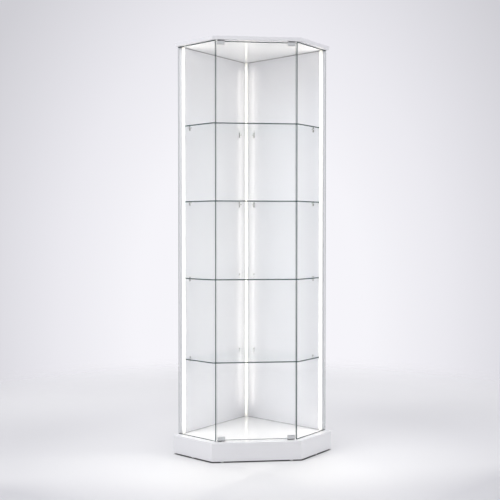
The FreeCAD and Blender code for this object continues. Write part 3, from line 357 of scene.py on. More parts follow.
def moulded(name, low, high, rough):
    """A moulded plastic with a fine spark-eroded grain."""
    finish = new_finish(name)
    where = finish.spot()
    tone = finish.noise(where, 40.0)
    pits = finish.noise(where, 1900.0, 3)
    return finish.done(
        finish.shader(
            Base_Color=finish.blend(tone, low, high),
            Roughness=rough - 0.05 + 0.1 * finish.noise(where, 300.0),
            Normal=finish.bump(pits, 0.00003, 0.5),
        )
    )


def solids_of(name):
    """The lowest and the highest corner of each separate solid of a CAD node."""
    shape = bmesh.new()
    shape.from_mesh(nodes[name].data)
    bmesh.ops.remove_doubles(shape, verts=shape.verts, dist=1e-6)
    left = set(shape.verts)
    corners = []
    while left:
        found = {left.pop()}
        edge_of_search = list(found)
        while edge_of_search:
            here = edge_of_search.pop()
            for line in here.link_edges:
                there = line.other_vert(here)
                if there in left:
                    left.remove(there)
                    found.add(there)
                    edge_of_search.append(there)
        places = [corner.co.copy() for corner in found]
        low_corner = Vector([min(place[axis] for place in places) for axis in range(3)])
        high_corner = Vector([max(place[axis] for place in places) for axis in range(3)])
        corners.append((low_corner, high_corner))
    shape.free()
    return sorted(corners, key=lambda pair: tuple(round(value, 5) for value in pair[0]))


def start(name, add, **sizes):
    """Add a primitive as the start of a piece, with nothing else selected."""
    if bpy.context.mode != "OBJECT":
        bpy.ops.object.mode_set(mode="OBJECT")
    bpy.ops.object.select_all(action="DESELECT")
    add(**sizes)
    piece = bpy.context.object
    piece.name = name
    bpy.ops.object.transform_apply(location=True, rotation=True, scale=True)
    return piece


def start_disc(name, radius, low, high, sides=40):
    """A cylinder on the Z axis between two heights."""
    return start(
        name,
        bpy.ops.mesh.primitive_cylinder_add,
        vertices=sides,
        radius=radius,
        depth=high - low,
        location=(0, 0, (low + high) / 2),
    )


def edit_faces(piece, test):
    """Open a piece for editing, with the faces selected whose middle and normal pass a test."""
    bpy.ops.object.mode_set(mode="OBJECT")
    bpy.context.tool_settings.mesh_select_mode = (False, False, True)
    for entry in (*piece.data.vertices, *piece.data.edges):
        entry.select = False
    for face in piece.data.polygons:
        face.select = test(face.center, face.normal)
    bpy.ops.object.mode_set(mode="EDIT")


def push(distance):
    """Extrude the selected faces along Z."""
    bpy.ops.mesh.extrude_region_move(TRANSFORM_OT_translate={"value": (0, 0, distance)})


SHARP_EDGE, SMOOTH_BELOW = math.radians(35), math.radians(32)


def rounded(piece, width, steps=3):
    """Round the sharp edges of a piece."""
    bpy.ops.object.mode_set(mode="OBJECT")
    bpy.context.view_layer.objects.active = piece
    change = piece.modifiers.new("round", "BEVEL")
    change.width = width
    change.segments = steps
    change.angle_limit = SHARP_EDGE
    bpy.ops.object.modifier_apply(modifier=change.name)


def fit(piece, finish, body, slot, *replaced):
    """Finish a piece: its shading, material, body and the nodes it replaces. slot is not used."""
    if bpy.context.mode != "OBJECT":
        bpy.ops.object.mode_set(mode="OBJECT")
    bpy.ops.object.select_all(action="DESELECT")
    piece.select_set(True)
    bpy.context.view_layer.objects.active = piece
    bpy.ops.object.shade_smooth_by_angle(angle=SMOOTH_BELOW)
    piece.data.materials.clear()
    piece.data.materials.append(finish)
    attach(piece, body)
    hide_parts(*replaced)


def fit_copies(model, places, finish, body, slot, node):
    """A copy of a model at each place, each with its own mesh."""
    bpy.ops.object.mode_set(mode="OBJECT")
    for number, place in enumerate(places, start=1):
        piece = bpy.data.objects.new(f"{model.name}_{number}", model.data.copy())
        bpy.context.scene.collection.objects.link(piece)
        piece.data.transform(place)
        fit(piece, finish, body, slot, node)
    bpy.data.objects.remove(model)


GLIDE_RIM, GLIDE_HOLLOW, GLIDE_STEP, GLIDE_ROUNDING = 0.0024, 0.0004, 0.0008, 0.0009
glide_low, glide_high = solids_of("glides")[0]
glide_radius = (glide_high.x - glide_low.x) / 2
glide = start_disc("glide", glide_radius, glide_low.z, glide_high.z)
edit_faces(glide, lambda middle, normal: normal.z < -0.9)
bpy.ops.mesh.inset(thickness=GLIDE_RIM)
push(GLIDE_HOLLOW)
bpy.ops.mesh.inset(thickness=GLIDE_STEP)
rounded(glide, GLIDE_ROUNDING)
glide_places = [
    Matrix.Translation(((low.x + high.x) / 2, (low.y + high.y) / 2, 0))
    for low, high in solids_of("glides")
]
nylon = moulded("white_nylon", (0.66, 0.66, 0.64, 1), (0.74, 0.74, 0.73, 1), 0.42)
fit_copies(glide, glide_places, nylon, "cabinet", "white_plastic", "glides")

# ---------------------------------------------------------------------------------------------
# Floor board: a white board of the same kind, polished a little more, lying inside the back walls
# on the plinth's cleats. Its top is the cabinet's lowest shelf.
# ---------------------------------------------------------------------------------------------
floor_finish = gloss_board(
    "white_gloss_floor", (0.88, 0.88, 0.89, 1), (0.905, 0.905, 0.915, 1), coat=(0.6, 0.03)
)
dress(["floor_board"], floor_finish)

# ---------------------------------------------------------------------------------------------
# Cleats: 20 mm square strips of planed pine, glued inside the plinth and screwed up into the floor
# board with zinc-plated screws.
# ---------------------------------------------------------------------------------------------


def pine(name, turn):
    """Planed pine: growth rings along the strip, with fine dark latewood lines."""
    finish = new_finish(name)
    where = finish.spot(turn=(0, 0, turn))
    along = finish.node("ShaderNodeMapping", None, {0: where, "Scale": (3, 60, 60)})
    waver = finish.noise(along, 1.3, 3)
    rings = finish.node(
        "ShaderNodeTexWave",
        {"bands_direction": "Y"},
        {"Vector": along, "Scale": 2.2, "Distortion": 3.5, "Detail": 3, "Detail Scale": 1.4},
    )
    fibres = finish.node("ShaderNodeMapping", None, {0: where, "Scale": (30, 1400, 1400)})
    pores = finish.noise(fibres, 1.0, 4)
    colour = finish.node(
        "ShaderNodeValToRGB",
        {
            "stops": [
                (0.0, (0.62, 0.44, 0.25)),
                (0.55, (0.56, 0.37, 0.19)),
                (0.9, (0.40, 0.22, 0.09)),
            ]
        },
        {0: 0.8 * rings + 0.25 * waver},
    )
    return finish.done(
        finish.shader(
            Base_Color=colour,
            Roughness=0.55 + 0.2 * pores,
            Normal=finish.bump(pores, 0.00008, 0.6),
        )
    )


dress(["floor_cleat_front"], pine("pine_front", 0))
dress(["floor_cleats_side", "floor_cleats_back"], pine("pine_sides", math.radians(45)))


def plated(name, low, high, rough):
    """Plated steel or zinc: bright, with a slightly cloudy plating."""
    finish = new_finish(name)
    where = finish.spot()
    cloud = finish.noise(where, 220.0, 3)
    fine = finish.noise(where, 2600.0, 2)
    return finish.done(
        finish.shader(
            Base_Color=finish.blend(cloud, low, high),
            Metallic=1.0,
            Roughness=rough + 0.12 * cloud,
            Normal=finish.bump(fine, 0.00001, 0.5),
        )
    )


zinc = plated("zinc_plated_screw", (0.55, 0.56, 0.58, 1), (0.70, 0.70, 0.70, 1), 0.24)


def start_block(name, low_corner, high_corner):
    """A box between two corners."""
    low_corner, high_corner = Vector(low_corner), Vector(high_corner)
    return start(
        name,
        bpy.ops.mesh.primitive_cube_add,
        size=1,
        location=(low_corner + high_corner) / 2,
        scale=high_corner - low_corner,
    )


def cut_away(piece, cutter):
    """Cut one shape out of a piece."""
    bpy.ops.object.mode_set(mode="OBJECT")
    bpy.context.view_layer.objects.active = piece
    change = piece.modifiers.new("cut", "BOOLEAN")
    change.object = cutter
    change.solver = "EXACT"
    bpy.ops.object.modifier_apply(modifier=change.name)
    bpy.data.objects.remove(cutter)


def cross_recess(piece, size, depth):
    """Cut a screwdriver's cross into the face at z = 0, which looks down."""
    arm_width, taper = 0.26 * size, 0.55
    for long, wide in ((size, arm_width), (arm_width, size)):
        arm = start_block("arm", (-long / 2, -wide / 2, -depth), (long / 2, wide / 2, depth))
        edit_faces(arm, lambda middle, normal: normal.z > 0.9)
        bpy.ops.transform.resize(value=(taper, taper, 1))
        cut_away(piece, arm)


def screw(name, head_radius, head_depth, shank_radius, length):
    """A pan-head screw, its head's outer face at z = 0 and its point up."""
    point_length = 2.5 * shank_radius
    piece = start_disc(name, head_radius, 0, head_depth, 28)
    edit_faces(piece, lambda middle, normal: normal.z > 0.9)
    bpy.ops.mesh.inset(thickness=head_radius - shank_radius)
    push(length - head_depth - point_length)
    push(point_length)
    bpy.ops.transform.resize(value=(0.15, 0.15, 1))
    edit_faces(piece, lambda middle, normal: normal.z < -0.9)
    bpy.ops.mesh.bevel(offset=0.42 * head_depth, segments=4, affect="EDGES")
    cross_recess(piece, 1.25 * head_radius, 0.55 * head_depth)
    return piece


def standing(places, direction, back=0.0):
    """Matrices that set +Z along a direction, at each place, moved back along it."""
    turn = Vector(direction).normalized().to_track_quat("Z", "Y").to_matrix().to_4x4()
    step = Vector(direction).normalized() * back
    return [Matrix.Translation(place - step) @ turn for place in places]


def screws_up(name, node):
    """The small screws of a CAD node, driven upwards."""
    solids = solids_of(node)
    low, high = solids[0]
    model = screw(
        name,
        head_radius=(high.x - low.x) / 2,
        head_depth=0.002,
        shank_radius=0.00175,
        length=high.z - low.z,
    )
    places = [Vector(((low.x + high.x) / 2, (low.y + high.y) / 2, low.z)) for low, high in solids]
    fit_copies(model, standing(places, (0, 0, 1)), zinc, "cabinet", "zinc_screw", node)


screws_up("cleat_screw", "cleat_screws")

# ---------------------------------------------------------------------------------------------
# Back walls: two white gloss boards, 465 mm from the corner to the side glass. The left one covers
# the right one's end. Dowels stand them on the plinth, and screws draw the corner together.
# ---------------------------------------------------------------------------------------------
floor_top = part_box("floor_board")[1].z
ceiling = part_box("top_board")[0].z
# The walls' lacquer is painted dark in thin bands at the floor board and at the top board, as
# painted shade in those joints.
wall_finish = gloss_board(
    "white_gloss_wall",
    (0.895, 0.895, 0.925, 1),
    (0.92, 0.92, 0.95, 1),
    joints=(floor_top + 0.0012, ceiling - 0.0022),
    coat=(0.9, 0.015),
)
dress(["back_wall_left", "back_wall_right"], wall_finish)


def beech(name):
    """Fluted beech dowel: pale pink-brown with short dark flecks along the grain."""
    finish = new_finish(name)
    flecks = finish.noise(finish.spot(stretch=(900, 900, 120)), 1.0, 2)
    tone = finish.noise(finish.spot(stretch=(90, 90, 12)), 1.0, 2)
    mark = finish.spread(flecks, 0.55, 0.75)
    base = finish.blend(tone, (0.60, 0.38, 0.22, 1), (0.68, 0.47, 0.29, 1))
    return finish.done(
        finish.shader(
            Base_Color=finish.blend(mark, base, (0.36, 0.19, 0.09, 1)),
            Roughness=0.6 + 0.1 * tone,
            Normal=finish.bump(flecks, 0.00005, 0.6),
        )
    )


dress(["wall_dowels"], beech("beech_dowel"))
SCREW_LENGTH = 0.050
screw_middles = [(low + high) / 2 for low, high in solids_of("corner_screws")]
fit_copies(
    screw(
        "corner_screw",
        head_radius=0.005,
        head_depth=0.003,
        shank_radius=0.0025,
        length=SCREW_LENGTH,
    ),
    standing(screw_middles, (1, -1, 0), SCREW_LENGTH / 2),
    zinc,
    "cabinet",
    "zinc_screw",
    "corner_screws",
)

CAM_RADIUS, CAM_DEPTH, CAM_RIM, CAM_DISH, CAM_CROSS = 0.0075, 0.0125, 0.0009, 0.0005, 0.003
cast_zinc = plated("cast_zinc_cam", (0.42, 0.43, 0.44, 1), (0.55, 0.56, 0.57, 1), 0.34)
dress(["cam_bolts"], cast_zinc)
cam = start_disc("cam_housing", CAM_RADIUS, 0, CAM_DEPTH)
edit_faces(cam, lambda middle, normal: normal.z < -0.9)
bpy.ops.mesh.inset(thickness=CAM_RIM)
push(CAM_DISH)
rounded(cam, 0.0003, 2)
cross_recess(cam, 1.2 * CAM_RADIUS, CAM_CROSS)
cam_places = []
for low, high in solids_of("cam_housings"):
    middle = (low + high) / 2
    inward = (-math.copysign(1, middle.x), -1, 0)
    cam_places += standing([middle], inward, CAM_DEPTH / 2)
fit_copies(cam, cam_places, cast_zinc, "cabinet", "cam_metal", "cam_housings")

# ---------------------------------------------------------------------------------------------
# Light profiles: white lacquered aluminium extrusions, one in the corner and one at each wall's
# front end, glued to the walls. Each holds a light tape under a lit opal cover, between moulded
# end caps. Thin lamps that the camera doesn't see give the strips' light.
# ---------------------------------------------------------------------------------------------


def lacquered_profile(name):
    """White lacquered aluminium with fine die lines along the profile."""
    finish = new_finish(name)
    lines = finish.noise(finish.spot(stretch=(2200, 2200, 3)), 1.0, 2)
    cloud = finish.noise(finish.spot(), 30.0)
    return finish.done(
        finish.shader(
            Base_Color=finish.blend(cloud, (0.89, 0.89, 0.90, 1), (0.92, 0.92, 0.93, 1)),
            Roughness=0.30 + 0.12 * lines,
            Normal=finish.bump(lines, 0.00001, 0.4),
            Coat_Weight=0.2,
        )
    )


dress(
    ["led_channel_left", "led_channel_right", "led_channel_corner"],
    lacquered_profile("white_light_profile"),
)
TAPE_STEP = 0.0083


def light_tape(name):
    """White tape with a phosphor chip and a copper pad at each step."""
    finish = new_finish(name)
    across, deep, up = finish.parts(finish.spot())
    step = up % TAPE_STEP
    chip = (step > 0.0024) * (step < 0.0059)
    pad = (step > 0.0072) * (step < 0.0079)
    board = finish.blend(pad, (0.80, 0.80, 0.78, 1), (0.50, 0.24, 0.09, 1))
    return finish.done(
        finish.shader(
            Base_Color=finish.blend(chip, board, (0.86, 0.66, 0.18, 1)),
            Roughness=0.35 + 0.15 * chip,
            Normal=finish.bump(chip, 0.0002, 0.8),
        )
    )


dress(["led_tape_left", "led_tape_right", "led_tape_corner"], light_tape("light_tape"))


def opal(name, strength, flank):
    """Lit opal diffuser, a touch dimmer at its two ends and on its flanks.

    flank takes the three parts of the place and gives back the mask of the two flanks.
    """
    finish = new_finish(name)
    across, deep, up = finish.parts(finish.spot())
    lit = finish.spread(up, floor_top + 0.002, floor_top + 0.036)
    lit = lit * finish.spread(up, ceiling - 0.002, ceiling - 0.036)
    lit = lit * (1 - 0.55 * flank(across, deep, up))
    glow = finish.blend(lit, (0.36, 0.34, 0.28, 1), (1.0, 0.97, 0.89, 1))
    return finish.done(
        finish.shader(
            Base_Color=(0.86, 0.86, 0.84, 1),
            Roughness=0.38 + 0.06 * finish.noise(finish.spot(), 900.0),
            Emission_Color=glow,
            Emission_Strength=strength,
        )
    )


corner_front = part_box("led_cover_corner")[0].y
corner_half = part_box("led_cover_corner")[1].x
cover_corners = [corner.co for corner in nodes["led_cover_left"].data.vertices]
cover_front = max(place.x - place.y for place in cover_corners)
cover_start = min(-place.x - place.y for place in cover_corners)
cover_end = max(-place.x - place.y for place in cover_corners)
SIDE_SOFT_EDGE, CORNER_SOFT_EDGE = 0.0022, 0.0018


def side_flank(across, deep, up):
    along = abs(across) - deep
    edges = (along < cover_start + SIDE_SOFT_EDGE) + (along > cover_end - SIDE_SOFT_EDGE)
    behind = -1 * abs(across) - deep < cover_front - 0.0004
    return (edges + behind).capped()


def corner_flank(across, deep, up):
    edges = abs(across) > corner_half - CORNER_SOFT_EDGE
    return ((deep > corner_front + 0.0003) + edges).capped()


dress(["led_cover_left", "led_cover_right"], opal("opal_cover_side", 1.5, side_flank))
dress(["led_cover_corner"], opal("opal_cover_corner", 1.25, corner_flank))
STRIP_WIDTH, STRIP_LENGTH, STRIP_MIDDLE = 0.013, 1.59, 0.950
for light_name, place, facing, power in (
    ("light_left", (-0.3042, -0.0806, STRIP_MIDDLE), (1, -0.8, 0), 2.15),
    ("light_right", (0.3042, -0.0806, STRIP_MIDDLE), (-1, -0.8, 0), 3.0),
    ("light_corner", (0, corner_front - 0.010, STRIP_MIDDLE), (0, -1, 0), 0.52),
    ("light_corner_glow", (0, corner_front - 0.045, STRIP_MIDDLE), (0, 1, 0), 0.10),
):
    light_data = bpy.data.lights.new(light_name, "AREA")
    light_data.shape = "RECTANGLE"
    light_data.size = STRIP_WIDTH
    light_data.size_y = STRIP_LENGTH
    light_data.energy = power
    light_data.color = (1.0, 0.955, 0.86)
    light = bpy.data.objects.new(light_name, light_data)
    light.location = place
    light.rotation_euler = Vector(facing).to_track_quat("-Z", "Y").to_euler()
    light.visible_camera = False
    light.visible_glossy = False
    light.visible_transmission = False
    bpy.context.scene.collection.objects.link(light)
cap_white = moulded("white_end_cap", (0.80, 0.80, 0.80, 1), (0.86, 0.86, 0.86, 1), 0.4)
dress(["led_end_caps"], cap_white)

# ---------------------------------------------------------------------------------------------
# Wiring under the floor board: a thin lead from each light tape to one distributor screwed under
# the board, and a supply lead from it to the power socket in the left back plinth board.
# ---------------------------------------------------------------------------------------------


def sheath(name):
    """White PVC lead with a faint drag pattern along it."""
    finish = new_finish(name)
    where = finish.spot()
    drag = finish.noise(where, 160.0, 3)
    return finish.done(
        finish.shader(
            Base_Color=finish.blend(drag, (0.70, 0.70, 0.69, 1), (0.80, 0.80, 0.80, 1)),
            Roughness=0.35 + 0.15 * drag,
            Normal=finish.bump(finish.noise(where, 1500.0), 0.00002, 0.5),
        )
    )


dress(["led_leads"], sheath("white_lead_sheath"))
black_plastic = moulded("black_plastic", (0.018, 0.018, 0.02, 1), (0.03, 0.03, 0.032, 1), 0.38)


def joined(piece, *others):
    """Make several shapes one piece."""
    bpy.ops.object.mode_set(mode="OBJECT")
    bpy.ops.object.select_all(action="DESELECT")
    for shape in (piece, *others):
        shape.select_set(True)
    bpy.context.view_layer.objects.active = piece
    bpy.ops.object.join()
    return piece


EAR_LENGTH, EAR_HEIGHT, LEAD_RADIUS = 0.010, 0.003, 0.001
SEAM_LOW, SEAM_HIGH, SEAM_DEPTH, SUPPLY_OFFSET = 0.0054, 0.0062, 0.0008, 0.015
COLLAR_SUNK, COLLAR_PROUD = 0.001, 0.0018
box_low, box_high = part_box("led_distributor")
ear_level = box_high.z - EAR_HEIGHT
case = start_block(
    "led_distributor_case",
    (box_low.x + EAR_LENGTH, box_low.y, box_low.z),
    (box_high.x - EAR_LENGTH, box_high.y, box_high.z),
)
for level in (ear_level, box_low.z + SEAM_HIGH, box_low.z + SEAM_LOW):
    bpy.ops.object.mode_set(mode="EDIT")
    bpy.ops.mesh.select_all(action="SELECT")
    bpy.ops.mesh.bisect(plane_co=(0, 0, level), plane_no=(0, 0, 1))
for side in (-1, 1):
    edit_faces(case, lambda middle, normal: normal.x * side > 0.9 and middle.z > ear_level)
    ear_step = {"value": (side * EAR_LENGTH, 0, 0)}
    bpy.ops.mesh.extrude_region_move(TRANSFORM_OT_translate=ear_step)
seam_middle = box_low.z + (SEAM_LOW + SEAM_HIGH) / 2
edit_faces(case, lambda middle, normal: abs(middle.z - seam_middle) < 0.0003)
bpy.ops.mesh.extrude_region_shrink_fatten(TRANSFORM_OT_shrink_fatten={"value": -SEAM_DEPTH})
rounded(case, 0.0007, 2)
lead_level = (box_low.z + box_high.z) / 2
collars = []
for place, direction in (
    ((box_low.x + EAR_LENGTH, (box_low.y + box_high.y) / 2, lead_level), (-1, 0, 0)),
    ((box_high.x - EAR_LENGTH, (box_low.y + box_high.y) / 2, lead_level), (1, 0, 0)),
    ((0, box_high.y, lead_level), (0, 1, 0)),
    ((-SUPPLY_OFFSET, box_high.y, lead_level), (0, 1, 0)),
):
    collar = start_disc("lead_collar", 3 * LEAD_RADIUS, -COLLAR_SUNK, COLLAR_PROUD, 24)
    edit_faces(collar, lambda middle, normal: normal.z > 0.9)
    bpy.ops.transform.resize(value=(0.7, 0.7, 1))
    rounded(collar, 0.0003, 2)
    collar.data.transform(standing([Vector(place)], direction)[0])
    collars.append(collar)
fit(joined(case, *collars), black_plastic, "cabinet", "box_plastic", "led_distributor")
screws_up("distributor_screw", "distributor_screws")

COLLAR_RADIUS, BODY_RADIUS, BORE_RADIUS, SOCKET_LENGTH = 0.008, 0.006, 0.00275, 0.020
COLLAR_DEPTH, BORE_DEPTH, CONTACT_RADIUS, NUT_LEVEL = 0.002, 0.010, 0.0010, 0.016
COLLAR_RIM, COLLAR_DISH, NUT_DEPTH = 0.0022, 0.0006, 0.002
socket = start_disc("power_socket_body", COLLAR_RADIUS, 0, COLLAR_DEPTH, 48)
edit_faces(socket, lambda middle, normal: normal.z > 0.9)
bpy.ops.mesh.inset(thickness=COLLAR_RADIUS - BODY_RADIUS)
push(SOCKET_LENGTH - COLLAR_DEPTH)
edit_faces(socket, lambda middle, normal: normal.z < -0.9)
bpy.ops.mesh.inset(thickness=COLLAR_RIM)
push(COLLAR_DISH)
bpy.ops.mesh.inset(thickness=COLLAR_RADIUS - COLLAR_RIM - BORE_RADIUS)
push(BORE_DEPTH - COLLAR_DISH)
bpy.ops.mesh.inset(thickness=BORE_RADIUS - CONTACT_RADIUS)
push(-0.8 * BORE_DEPTH)
rounded(socket, 0.0003, 2)
nut = start_disc("socket_nut", COLLAR_RADIUS, NUT_LEVEL, NUT_LEVEL + NUT_DEPTH, 6)
rounded(nut, 0.0003, 2)
joined(socket, nut)
socket_low, socket_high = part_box("power_socket")
socket_middle = (socket_low + socket_high) / 2
socket.data.transform(standing([socket_middle], (1, -1, 0), SOCKET_LENGTH / 2)[0])
fit(socket, black_plastic, "cabinet", "box_plastic", "power_socket")

# ---------------------------------------------------------------------------------------------
# Top board: the same white gloss board, held down on the walls by dowels and cam fittings. Its
# overhang hides the upper edges of the glass.
# ---------------------------------------------------------------------------------------------
dress(["top_board"], white_board)

# ---------------------------------------------------------------------------------------------
# Side glass: 5 mm clear float glass with ground edges, let into grooves in the floor board and the
# top board and bonded to the walls' front ends with clear tape.
# ---------------------------------------------------------------------------------------------


def clear_glass(name, square_to, green_edges_and_painted_shade, tint=(0.992, 0.994, 0.995, 1)):
    """Clear float glass. Its faces are seen through; its edges show the glass's green.

    The fourth argument takes the mask of the pane's edges and the three parts of the place, and
    gives back the mask of what shows the glass's green: the edges and, on the side panes and the
    door, strips and bands of the faces painted dark as painted shade.
    """
    finish = new_finish(name)
    normal = finish.node("ShaderNodeTexCoord", output="Normal")
    flat = finish.node(
        "ShaderNodeVectorMath", {"operation": "DOT_PRODUCT"}, {0: normal, 1: square_to}, output=1
    )
    edge_and_painted_shade = green_edges_and_painted_shade(abs(flat) < 0.9, *finish.parts(finish.spot()))
    faint = finish.noise(finish.spot(), 12.0, 3)
    see_through = finish.node("ShaderNodeBsdfTransparent", None, {"Color": tint})
    mirror = finish.node(
        "ShaderNodeBsdfGlossy", {"distribution": "GGX"}, {"Color": (1, 1, 1, 1), "Roughness": 0.01}
    )
    slant = finish.node("ShaderNodeLayerWeight", None, {"Blend": 0.5}, output=1)
    gloss = 0.04 + 0.96 * slant**5
    face = finish.node("ShaderNodeMixShader", None, {0: gloss, 1: see_through, 2: mirror})
    grind = finish.noise(finish.spot(), 60.0, 3)
    green = finish.blend(grind, (0.018, 0.050, 0.047, 1), (0.040, 0.085, 0.080, 1))
    rim = finish.shader(
        Base_Color=green, Roughness=0.22 + 0.1 * faint, Specular_IOR_Level=0.25
    )
    return finish.done(finish.node("ShaderNodeMixShader", None, {0: edge_and_painted_shade, 1: face, 2: rim}))


half_root = math.sqrt(0.5)
HALF_PANE, WALL_EDGE, WALL_SHADE_STRIP, FRONT_SHADE_STRIP = 0.0025, 0.001, 0.0016, 0.0008


def pane_measures(name, side):
    """How far each corner of a side piece lies along the pane, and how far out from it."""
    corners = [corner.co for corner in nodes[name].data.vertices]
    runs = [half_root * (-side * place.x - place.y) for place in corners]
    depths = [half_root * (side * place.x - place.y) for place in corners]
    return runs, depths


for side, name, finish_name in (
    (-1, "side_glass_left", "glass_left"),
    (1, "side_glass_right", "glass_right"),
):
    runs, depths = pane_measures(name, side)

    # Besides the edges, strips of the faces at the wall end and the front edge, and bands at the
    # floor board and the top board, are painted dark green as painted shade.
    def side_pane_edges_and_painted_shade(edge_and_painted_shade, across, deep, up):
        run = half_root * (-side * across - deep)
        depth = half_root * (side * across - deep)
        outer = depth > max(depths) - HALF_PANE
        free = edge_and_painted_shade * (run > min(runs) + WALL_EDGE)
        painted_edge_shade = outer * (run < min(runs) + WALL_SHADE_STRIP) + (run > max(runs) - FRONT_SHADE_STRIP)
        return (free + painted_edge_shade + (up < floor_top + 0.0008) + (up > ceiling - 0.0018)).capped()

    pane = clear_glass(finish_name, (side * half_root, -half_root, 0), side_pane_edges_and_painted_shade)
    dress([name], pane)


def clear_rubber(name, low, high, rough):
    """Translucent soft plastic, slightly milky."""
    finish = new_finish(name)
    cloud = finish.noise(finish.spot(), 180.0, 2)
    return finish.done(
        finish.shader(
            Base_Color=finish.blend(cloud, low, high),
            Roughness=rough + 0.1 * cloud,
            Normal=finish.bump(cloud, 0.00003, 0.4),
        )
    )


TAPE_GAP = 0.0001
tape = clear_rubber("clear_bond_tape", (0.92, 0.93, 0.93, 1), (0.95, 0.96, 0.96, 1), 0.3)
for side, name in ((-1, "glass_tape_left"), (1, "glass_tape_right")):
    runs, depths = pane_measures(name, side)
    low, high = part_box(name)
    strip = start_block(
        f"{name}_strip",
        (min(runs), min(depths) + TAPE_GAP, low.z),
        (max(runs), max(depths) - TAPE_GAP, high.z),
    )
    rounded(strip, 0.0003, 2)
    along = Vector((side, -1, 0)) * half_root
    inward = Vector((-side, -1, 0)) * half_root
    turn = Matrix((inward, along, (0, 0, 1))).transposed()
    strip.data.transform(turn.to_4x4())
    if turn.determinant() < 0:
        strip.data.flip_normals()
    fit(strip, tape, "cabinet", "soft_pad", name)

# ---------------------------------------------------------------------------------------------
# Shelf supports: nickel-plated steel brackets, each on a 5 mm pin in the wall, four to a shelf,
# with a clear pad that keeps the glass from slipping.
# ---------------------------------------------------------------------------------------------
nickel = plated("nickel_shelf_support", (0.50, 0.49, 0.47, 1), (0.62, 0.61, 0.59, 1), 0.20)
PLATE, SUPPORT_WIDTH, SUPPORT_REACH, SUPPORT_DROP = 0.0015, 0.008, 0.010, 0.012
PIN_RADIUS, PIN_LENGTH = 0.0025, 0.008
half_width = SUPPORT_WIDTH / 2
for number in (1, 2, 3, 4):
    bracket = start_block("plate", (-half_width, 0, -SUPPORT_DROP), (half_width, PLATE, 0))
    bpy.ops.object.mode_set(mode="EDIT")
    bpy.ops.mesh.select_all(action="SELECT")
    bpy.ops.mesh.bisect(plane_co=(0, 0, -PLATE), plane_no=(0, 0, 1))
    edit_faces(bracket, lambda middle, normal: normal.y > 0.9 and middle.z > -PLATE)
    seat_step = {"value": (0, SUPPORT_REACH - PLATE, 0)}
    bpy.ops.mesh.extrude_region_move(TRANSFORM_OT_translate=seat_step)
    rounded(bracket, 0.0004)
    pin = start_disc("pin", PIN_RADIUS, 0, PIN_LENGTH + PLATE / 2, 28)
    edit_faces(pin, lambda middle, normal: normal.z > 0.9)
    bpy.ops.mesh.bevel(offset=0.0008, segments=3, affect="EDGES")
    pin_place = Vector((0, PLATE / 2, -SUPPORT_DROP / 2))
    pin.data.transform(standing([pin_place], (0, -1, 0))[0])
    model = joined(bracket, pin)
    model.name = f"shelf_support_{number}"
    node = f"shelf_supports_{number}"
    support_places = []
    for low, high in solids_of(node):
        middle = (low + high) / 2
        side = math.copysign(1, middle.x)
        inward = Vector((-side, -1, 0)).normalized()
        root = middle - inward * (SUPPORT_REACH - PIN_LENGTH) / 2
        root.z = high.z
        turn = Matrix.Rotation(math.atan2(inward.y, inward.x) - math.pi / 2, 4, "Z")
        support_places.append(Matrix.Translation(root) @ turn)
    fit_copies(model, support_places, nickel, "cabinet", "support_metal", node)
pad_clear = clear_rubber("clear_shelf_pad", (0.66, 0.67, 0.67, 1), (0.74, 0.75, 0.75, 1), 0.25)
dress(["shelf_pads"], pad_clear)

# ---------------------------------------------------------------------------------------------
# Shelves: four panes of 5 mm clear float glass, cut to the cabinet's five sides round the corner
# light, with ground edges. They lie on the supports and lift off.
# ---------------------------------------------------------------------------------------------
SHELF_EDGE = 0.0012
shelf_corners = [corner.co for corner in nodes["glass_shelf_1"].data.vertices]
shelf_back = max(abs(place.x) + place.y for place in shelf_corners)
shelf_notch = max(place.y for place in shelf_corners)


def shelf_ground(edge_and_painted_shade, across, deep, up):
    at_wall = (abs(across) + deep > shelf_back - SHELF_EDGE) + (deep > shelf_notch - SHELF_EDGE)
    return edge_and_painted_shade * (1 - at_wall.capped())


shelf_glass = clear_glass("glass_shelf", (0, 0, 1), shelf_ground, (0.985, 1.0, 1.0, 1))
dress(["glass_shelf_1", "glass_shelf_2", "glass_shelf_3", "glass_shelf_4"], shelf_glass)

# ---------------------------------------------------------------------------------------------
# Door: one pane of 5 mm clear glass between the side panes' front edges, with ground edges. Clamps
# of satin metal grip its corners, lined with thin pads and tightened by two grub screws each. Past
# the ends of the glass the clamps are painted black, as painted shade.
# ---------------------------------------------------------------------------------------------
door_low, door_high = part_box("door_glass")


# Besides the edges, strips of the faces at the two sides and bands at the bottom and the top are
# painted dark green as painted shade.
def door_edges_and_painted_shade(edge_and_painted_shade, across, deep, up):
    sides = (across < door_low.x + 0.0007) + (across > door_high.x - 0.0007)
    ends = (up < door_low.z + 0.0008) + (up > door_high.z - 0.0026)
    return edge_and_painted_shade.math("MAXIMUM", edge_and_painted_shade, sides + ends)


dress(["door_glass"], clear_glass("glass_door", (0, 1, 0), door_edges_and_painted_shade))


def satin_metal(name, glass_ends):
    """Satin metal brushed along the door, painted black past the glass's ends as painted shade."""
    finish = new_finish(name)
    lines = finish.noise(finish.spot(stretch=(60, 3000, 3000)), 1.0, 2)
    cloud = finish.noise(finish.spot(), 90.0, 2)
    across, deep, up = finish.parts(finish.spot())
    # Painted shade: past the ends of the glass the metal is painted black.
    painted_gap_shade = (up > glass_ends[1]) + (up < glass_ends[0])
    metal = finish.blend(cloud, (0.59, 0.60, 0.61, 1), (0.67, 0.68, 0.69, 1))
    return finish.done(
        finish.shader(
            Base_Color=finish.blend(painted_gap_shade, metal, (0.02, 0.02, 0.021, 1)),
            Metallic=0.9 * (1 - painted_gap_shade),
            Roughness=0.30 + 0.14 * lines,
            Normal=finish.bump(lines, 0.00001, 0.5),
        )
    )


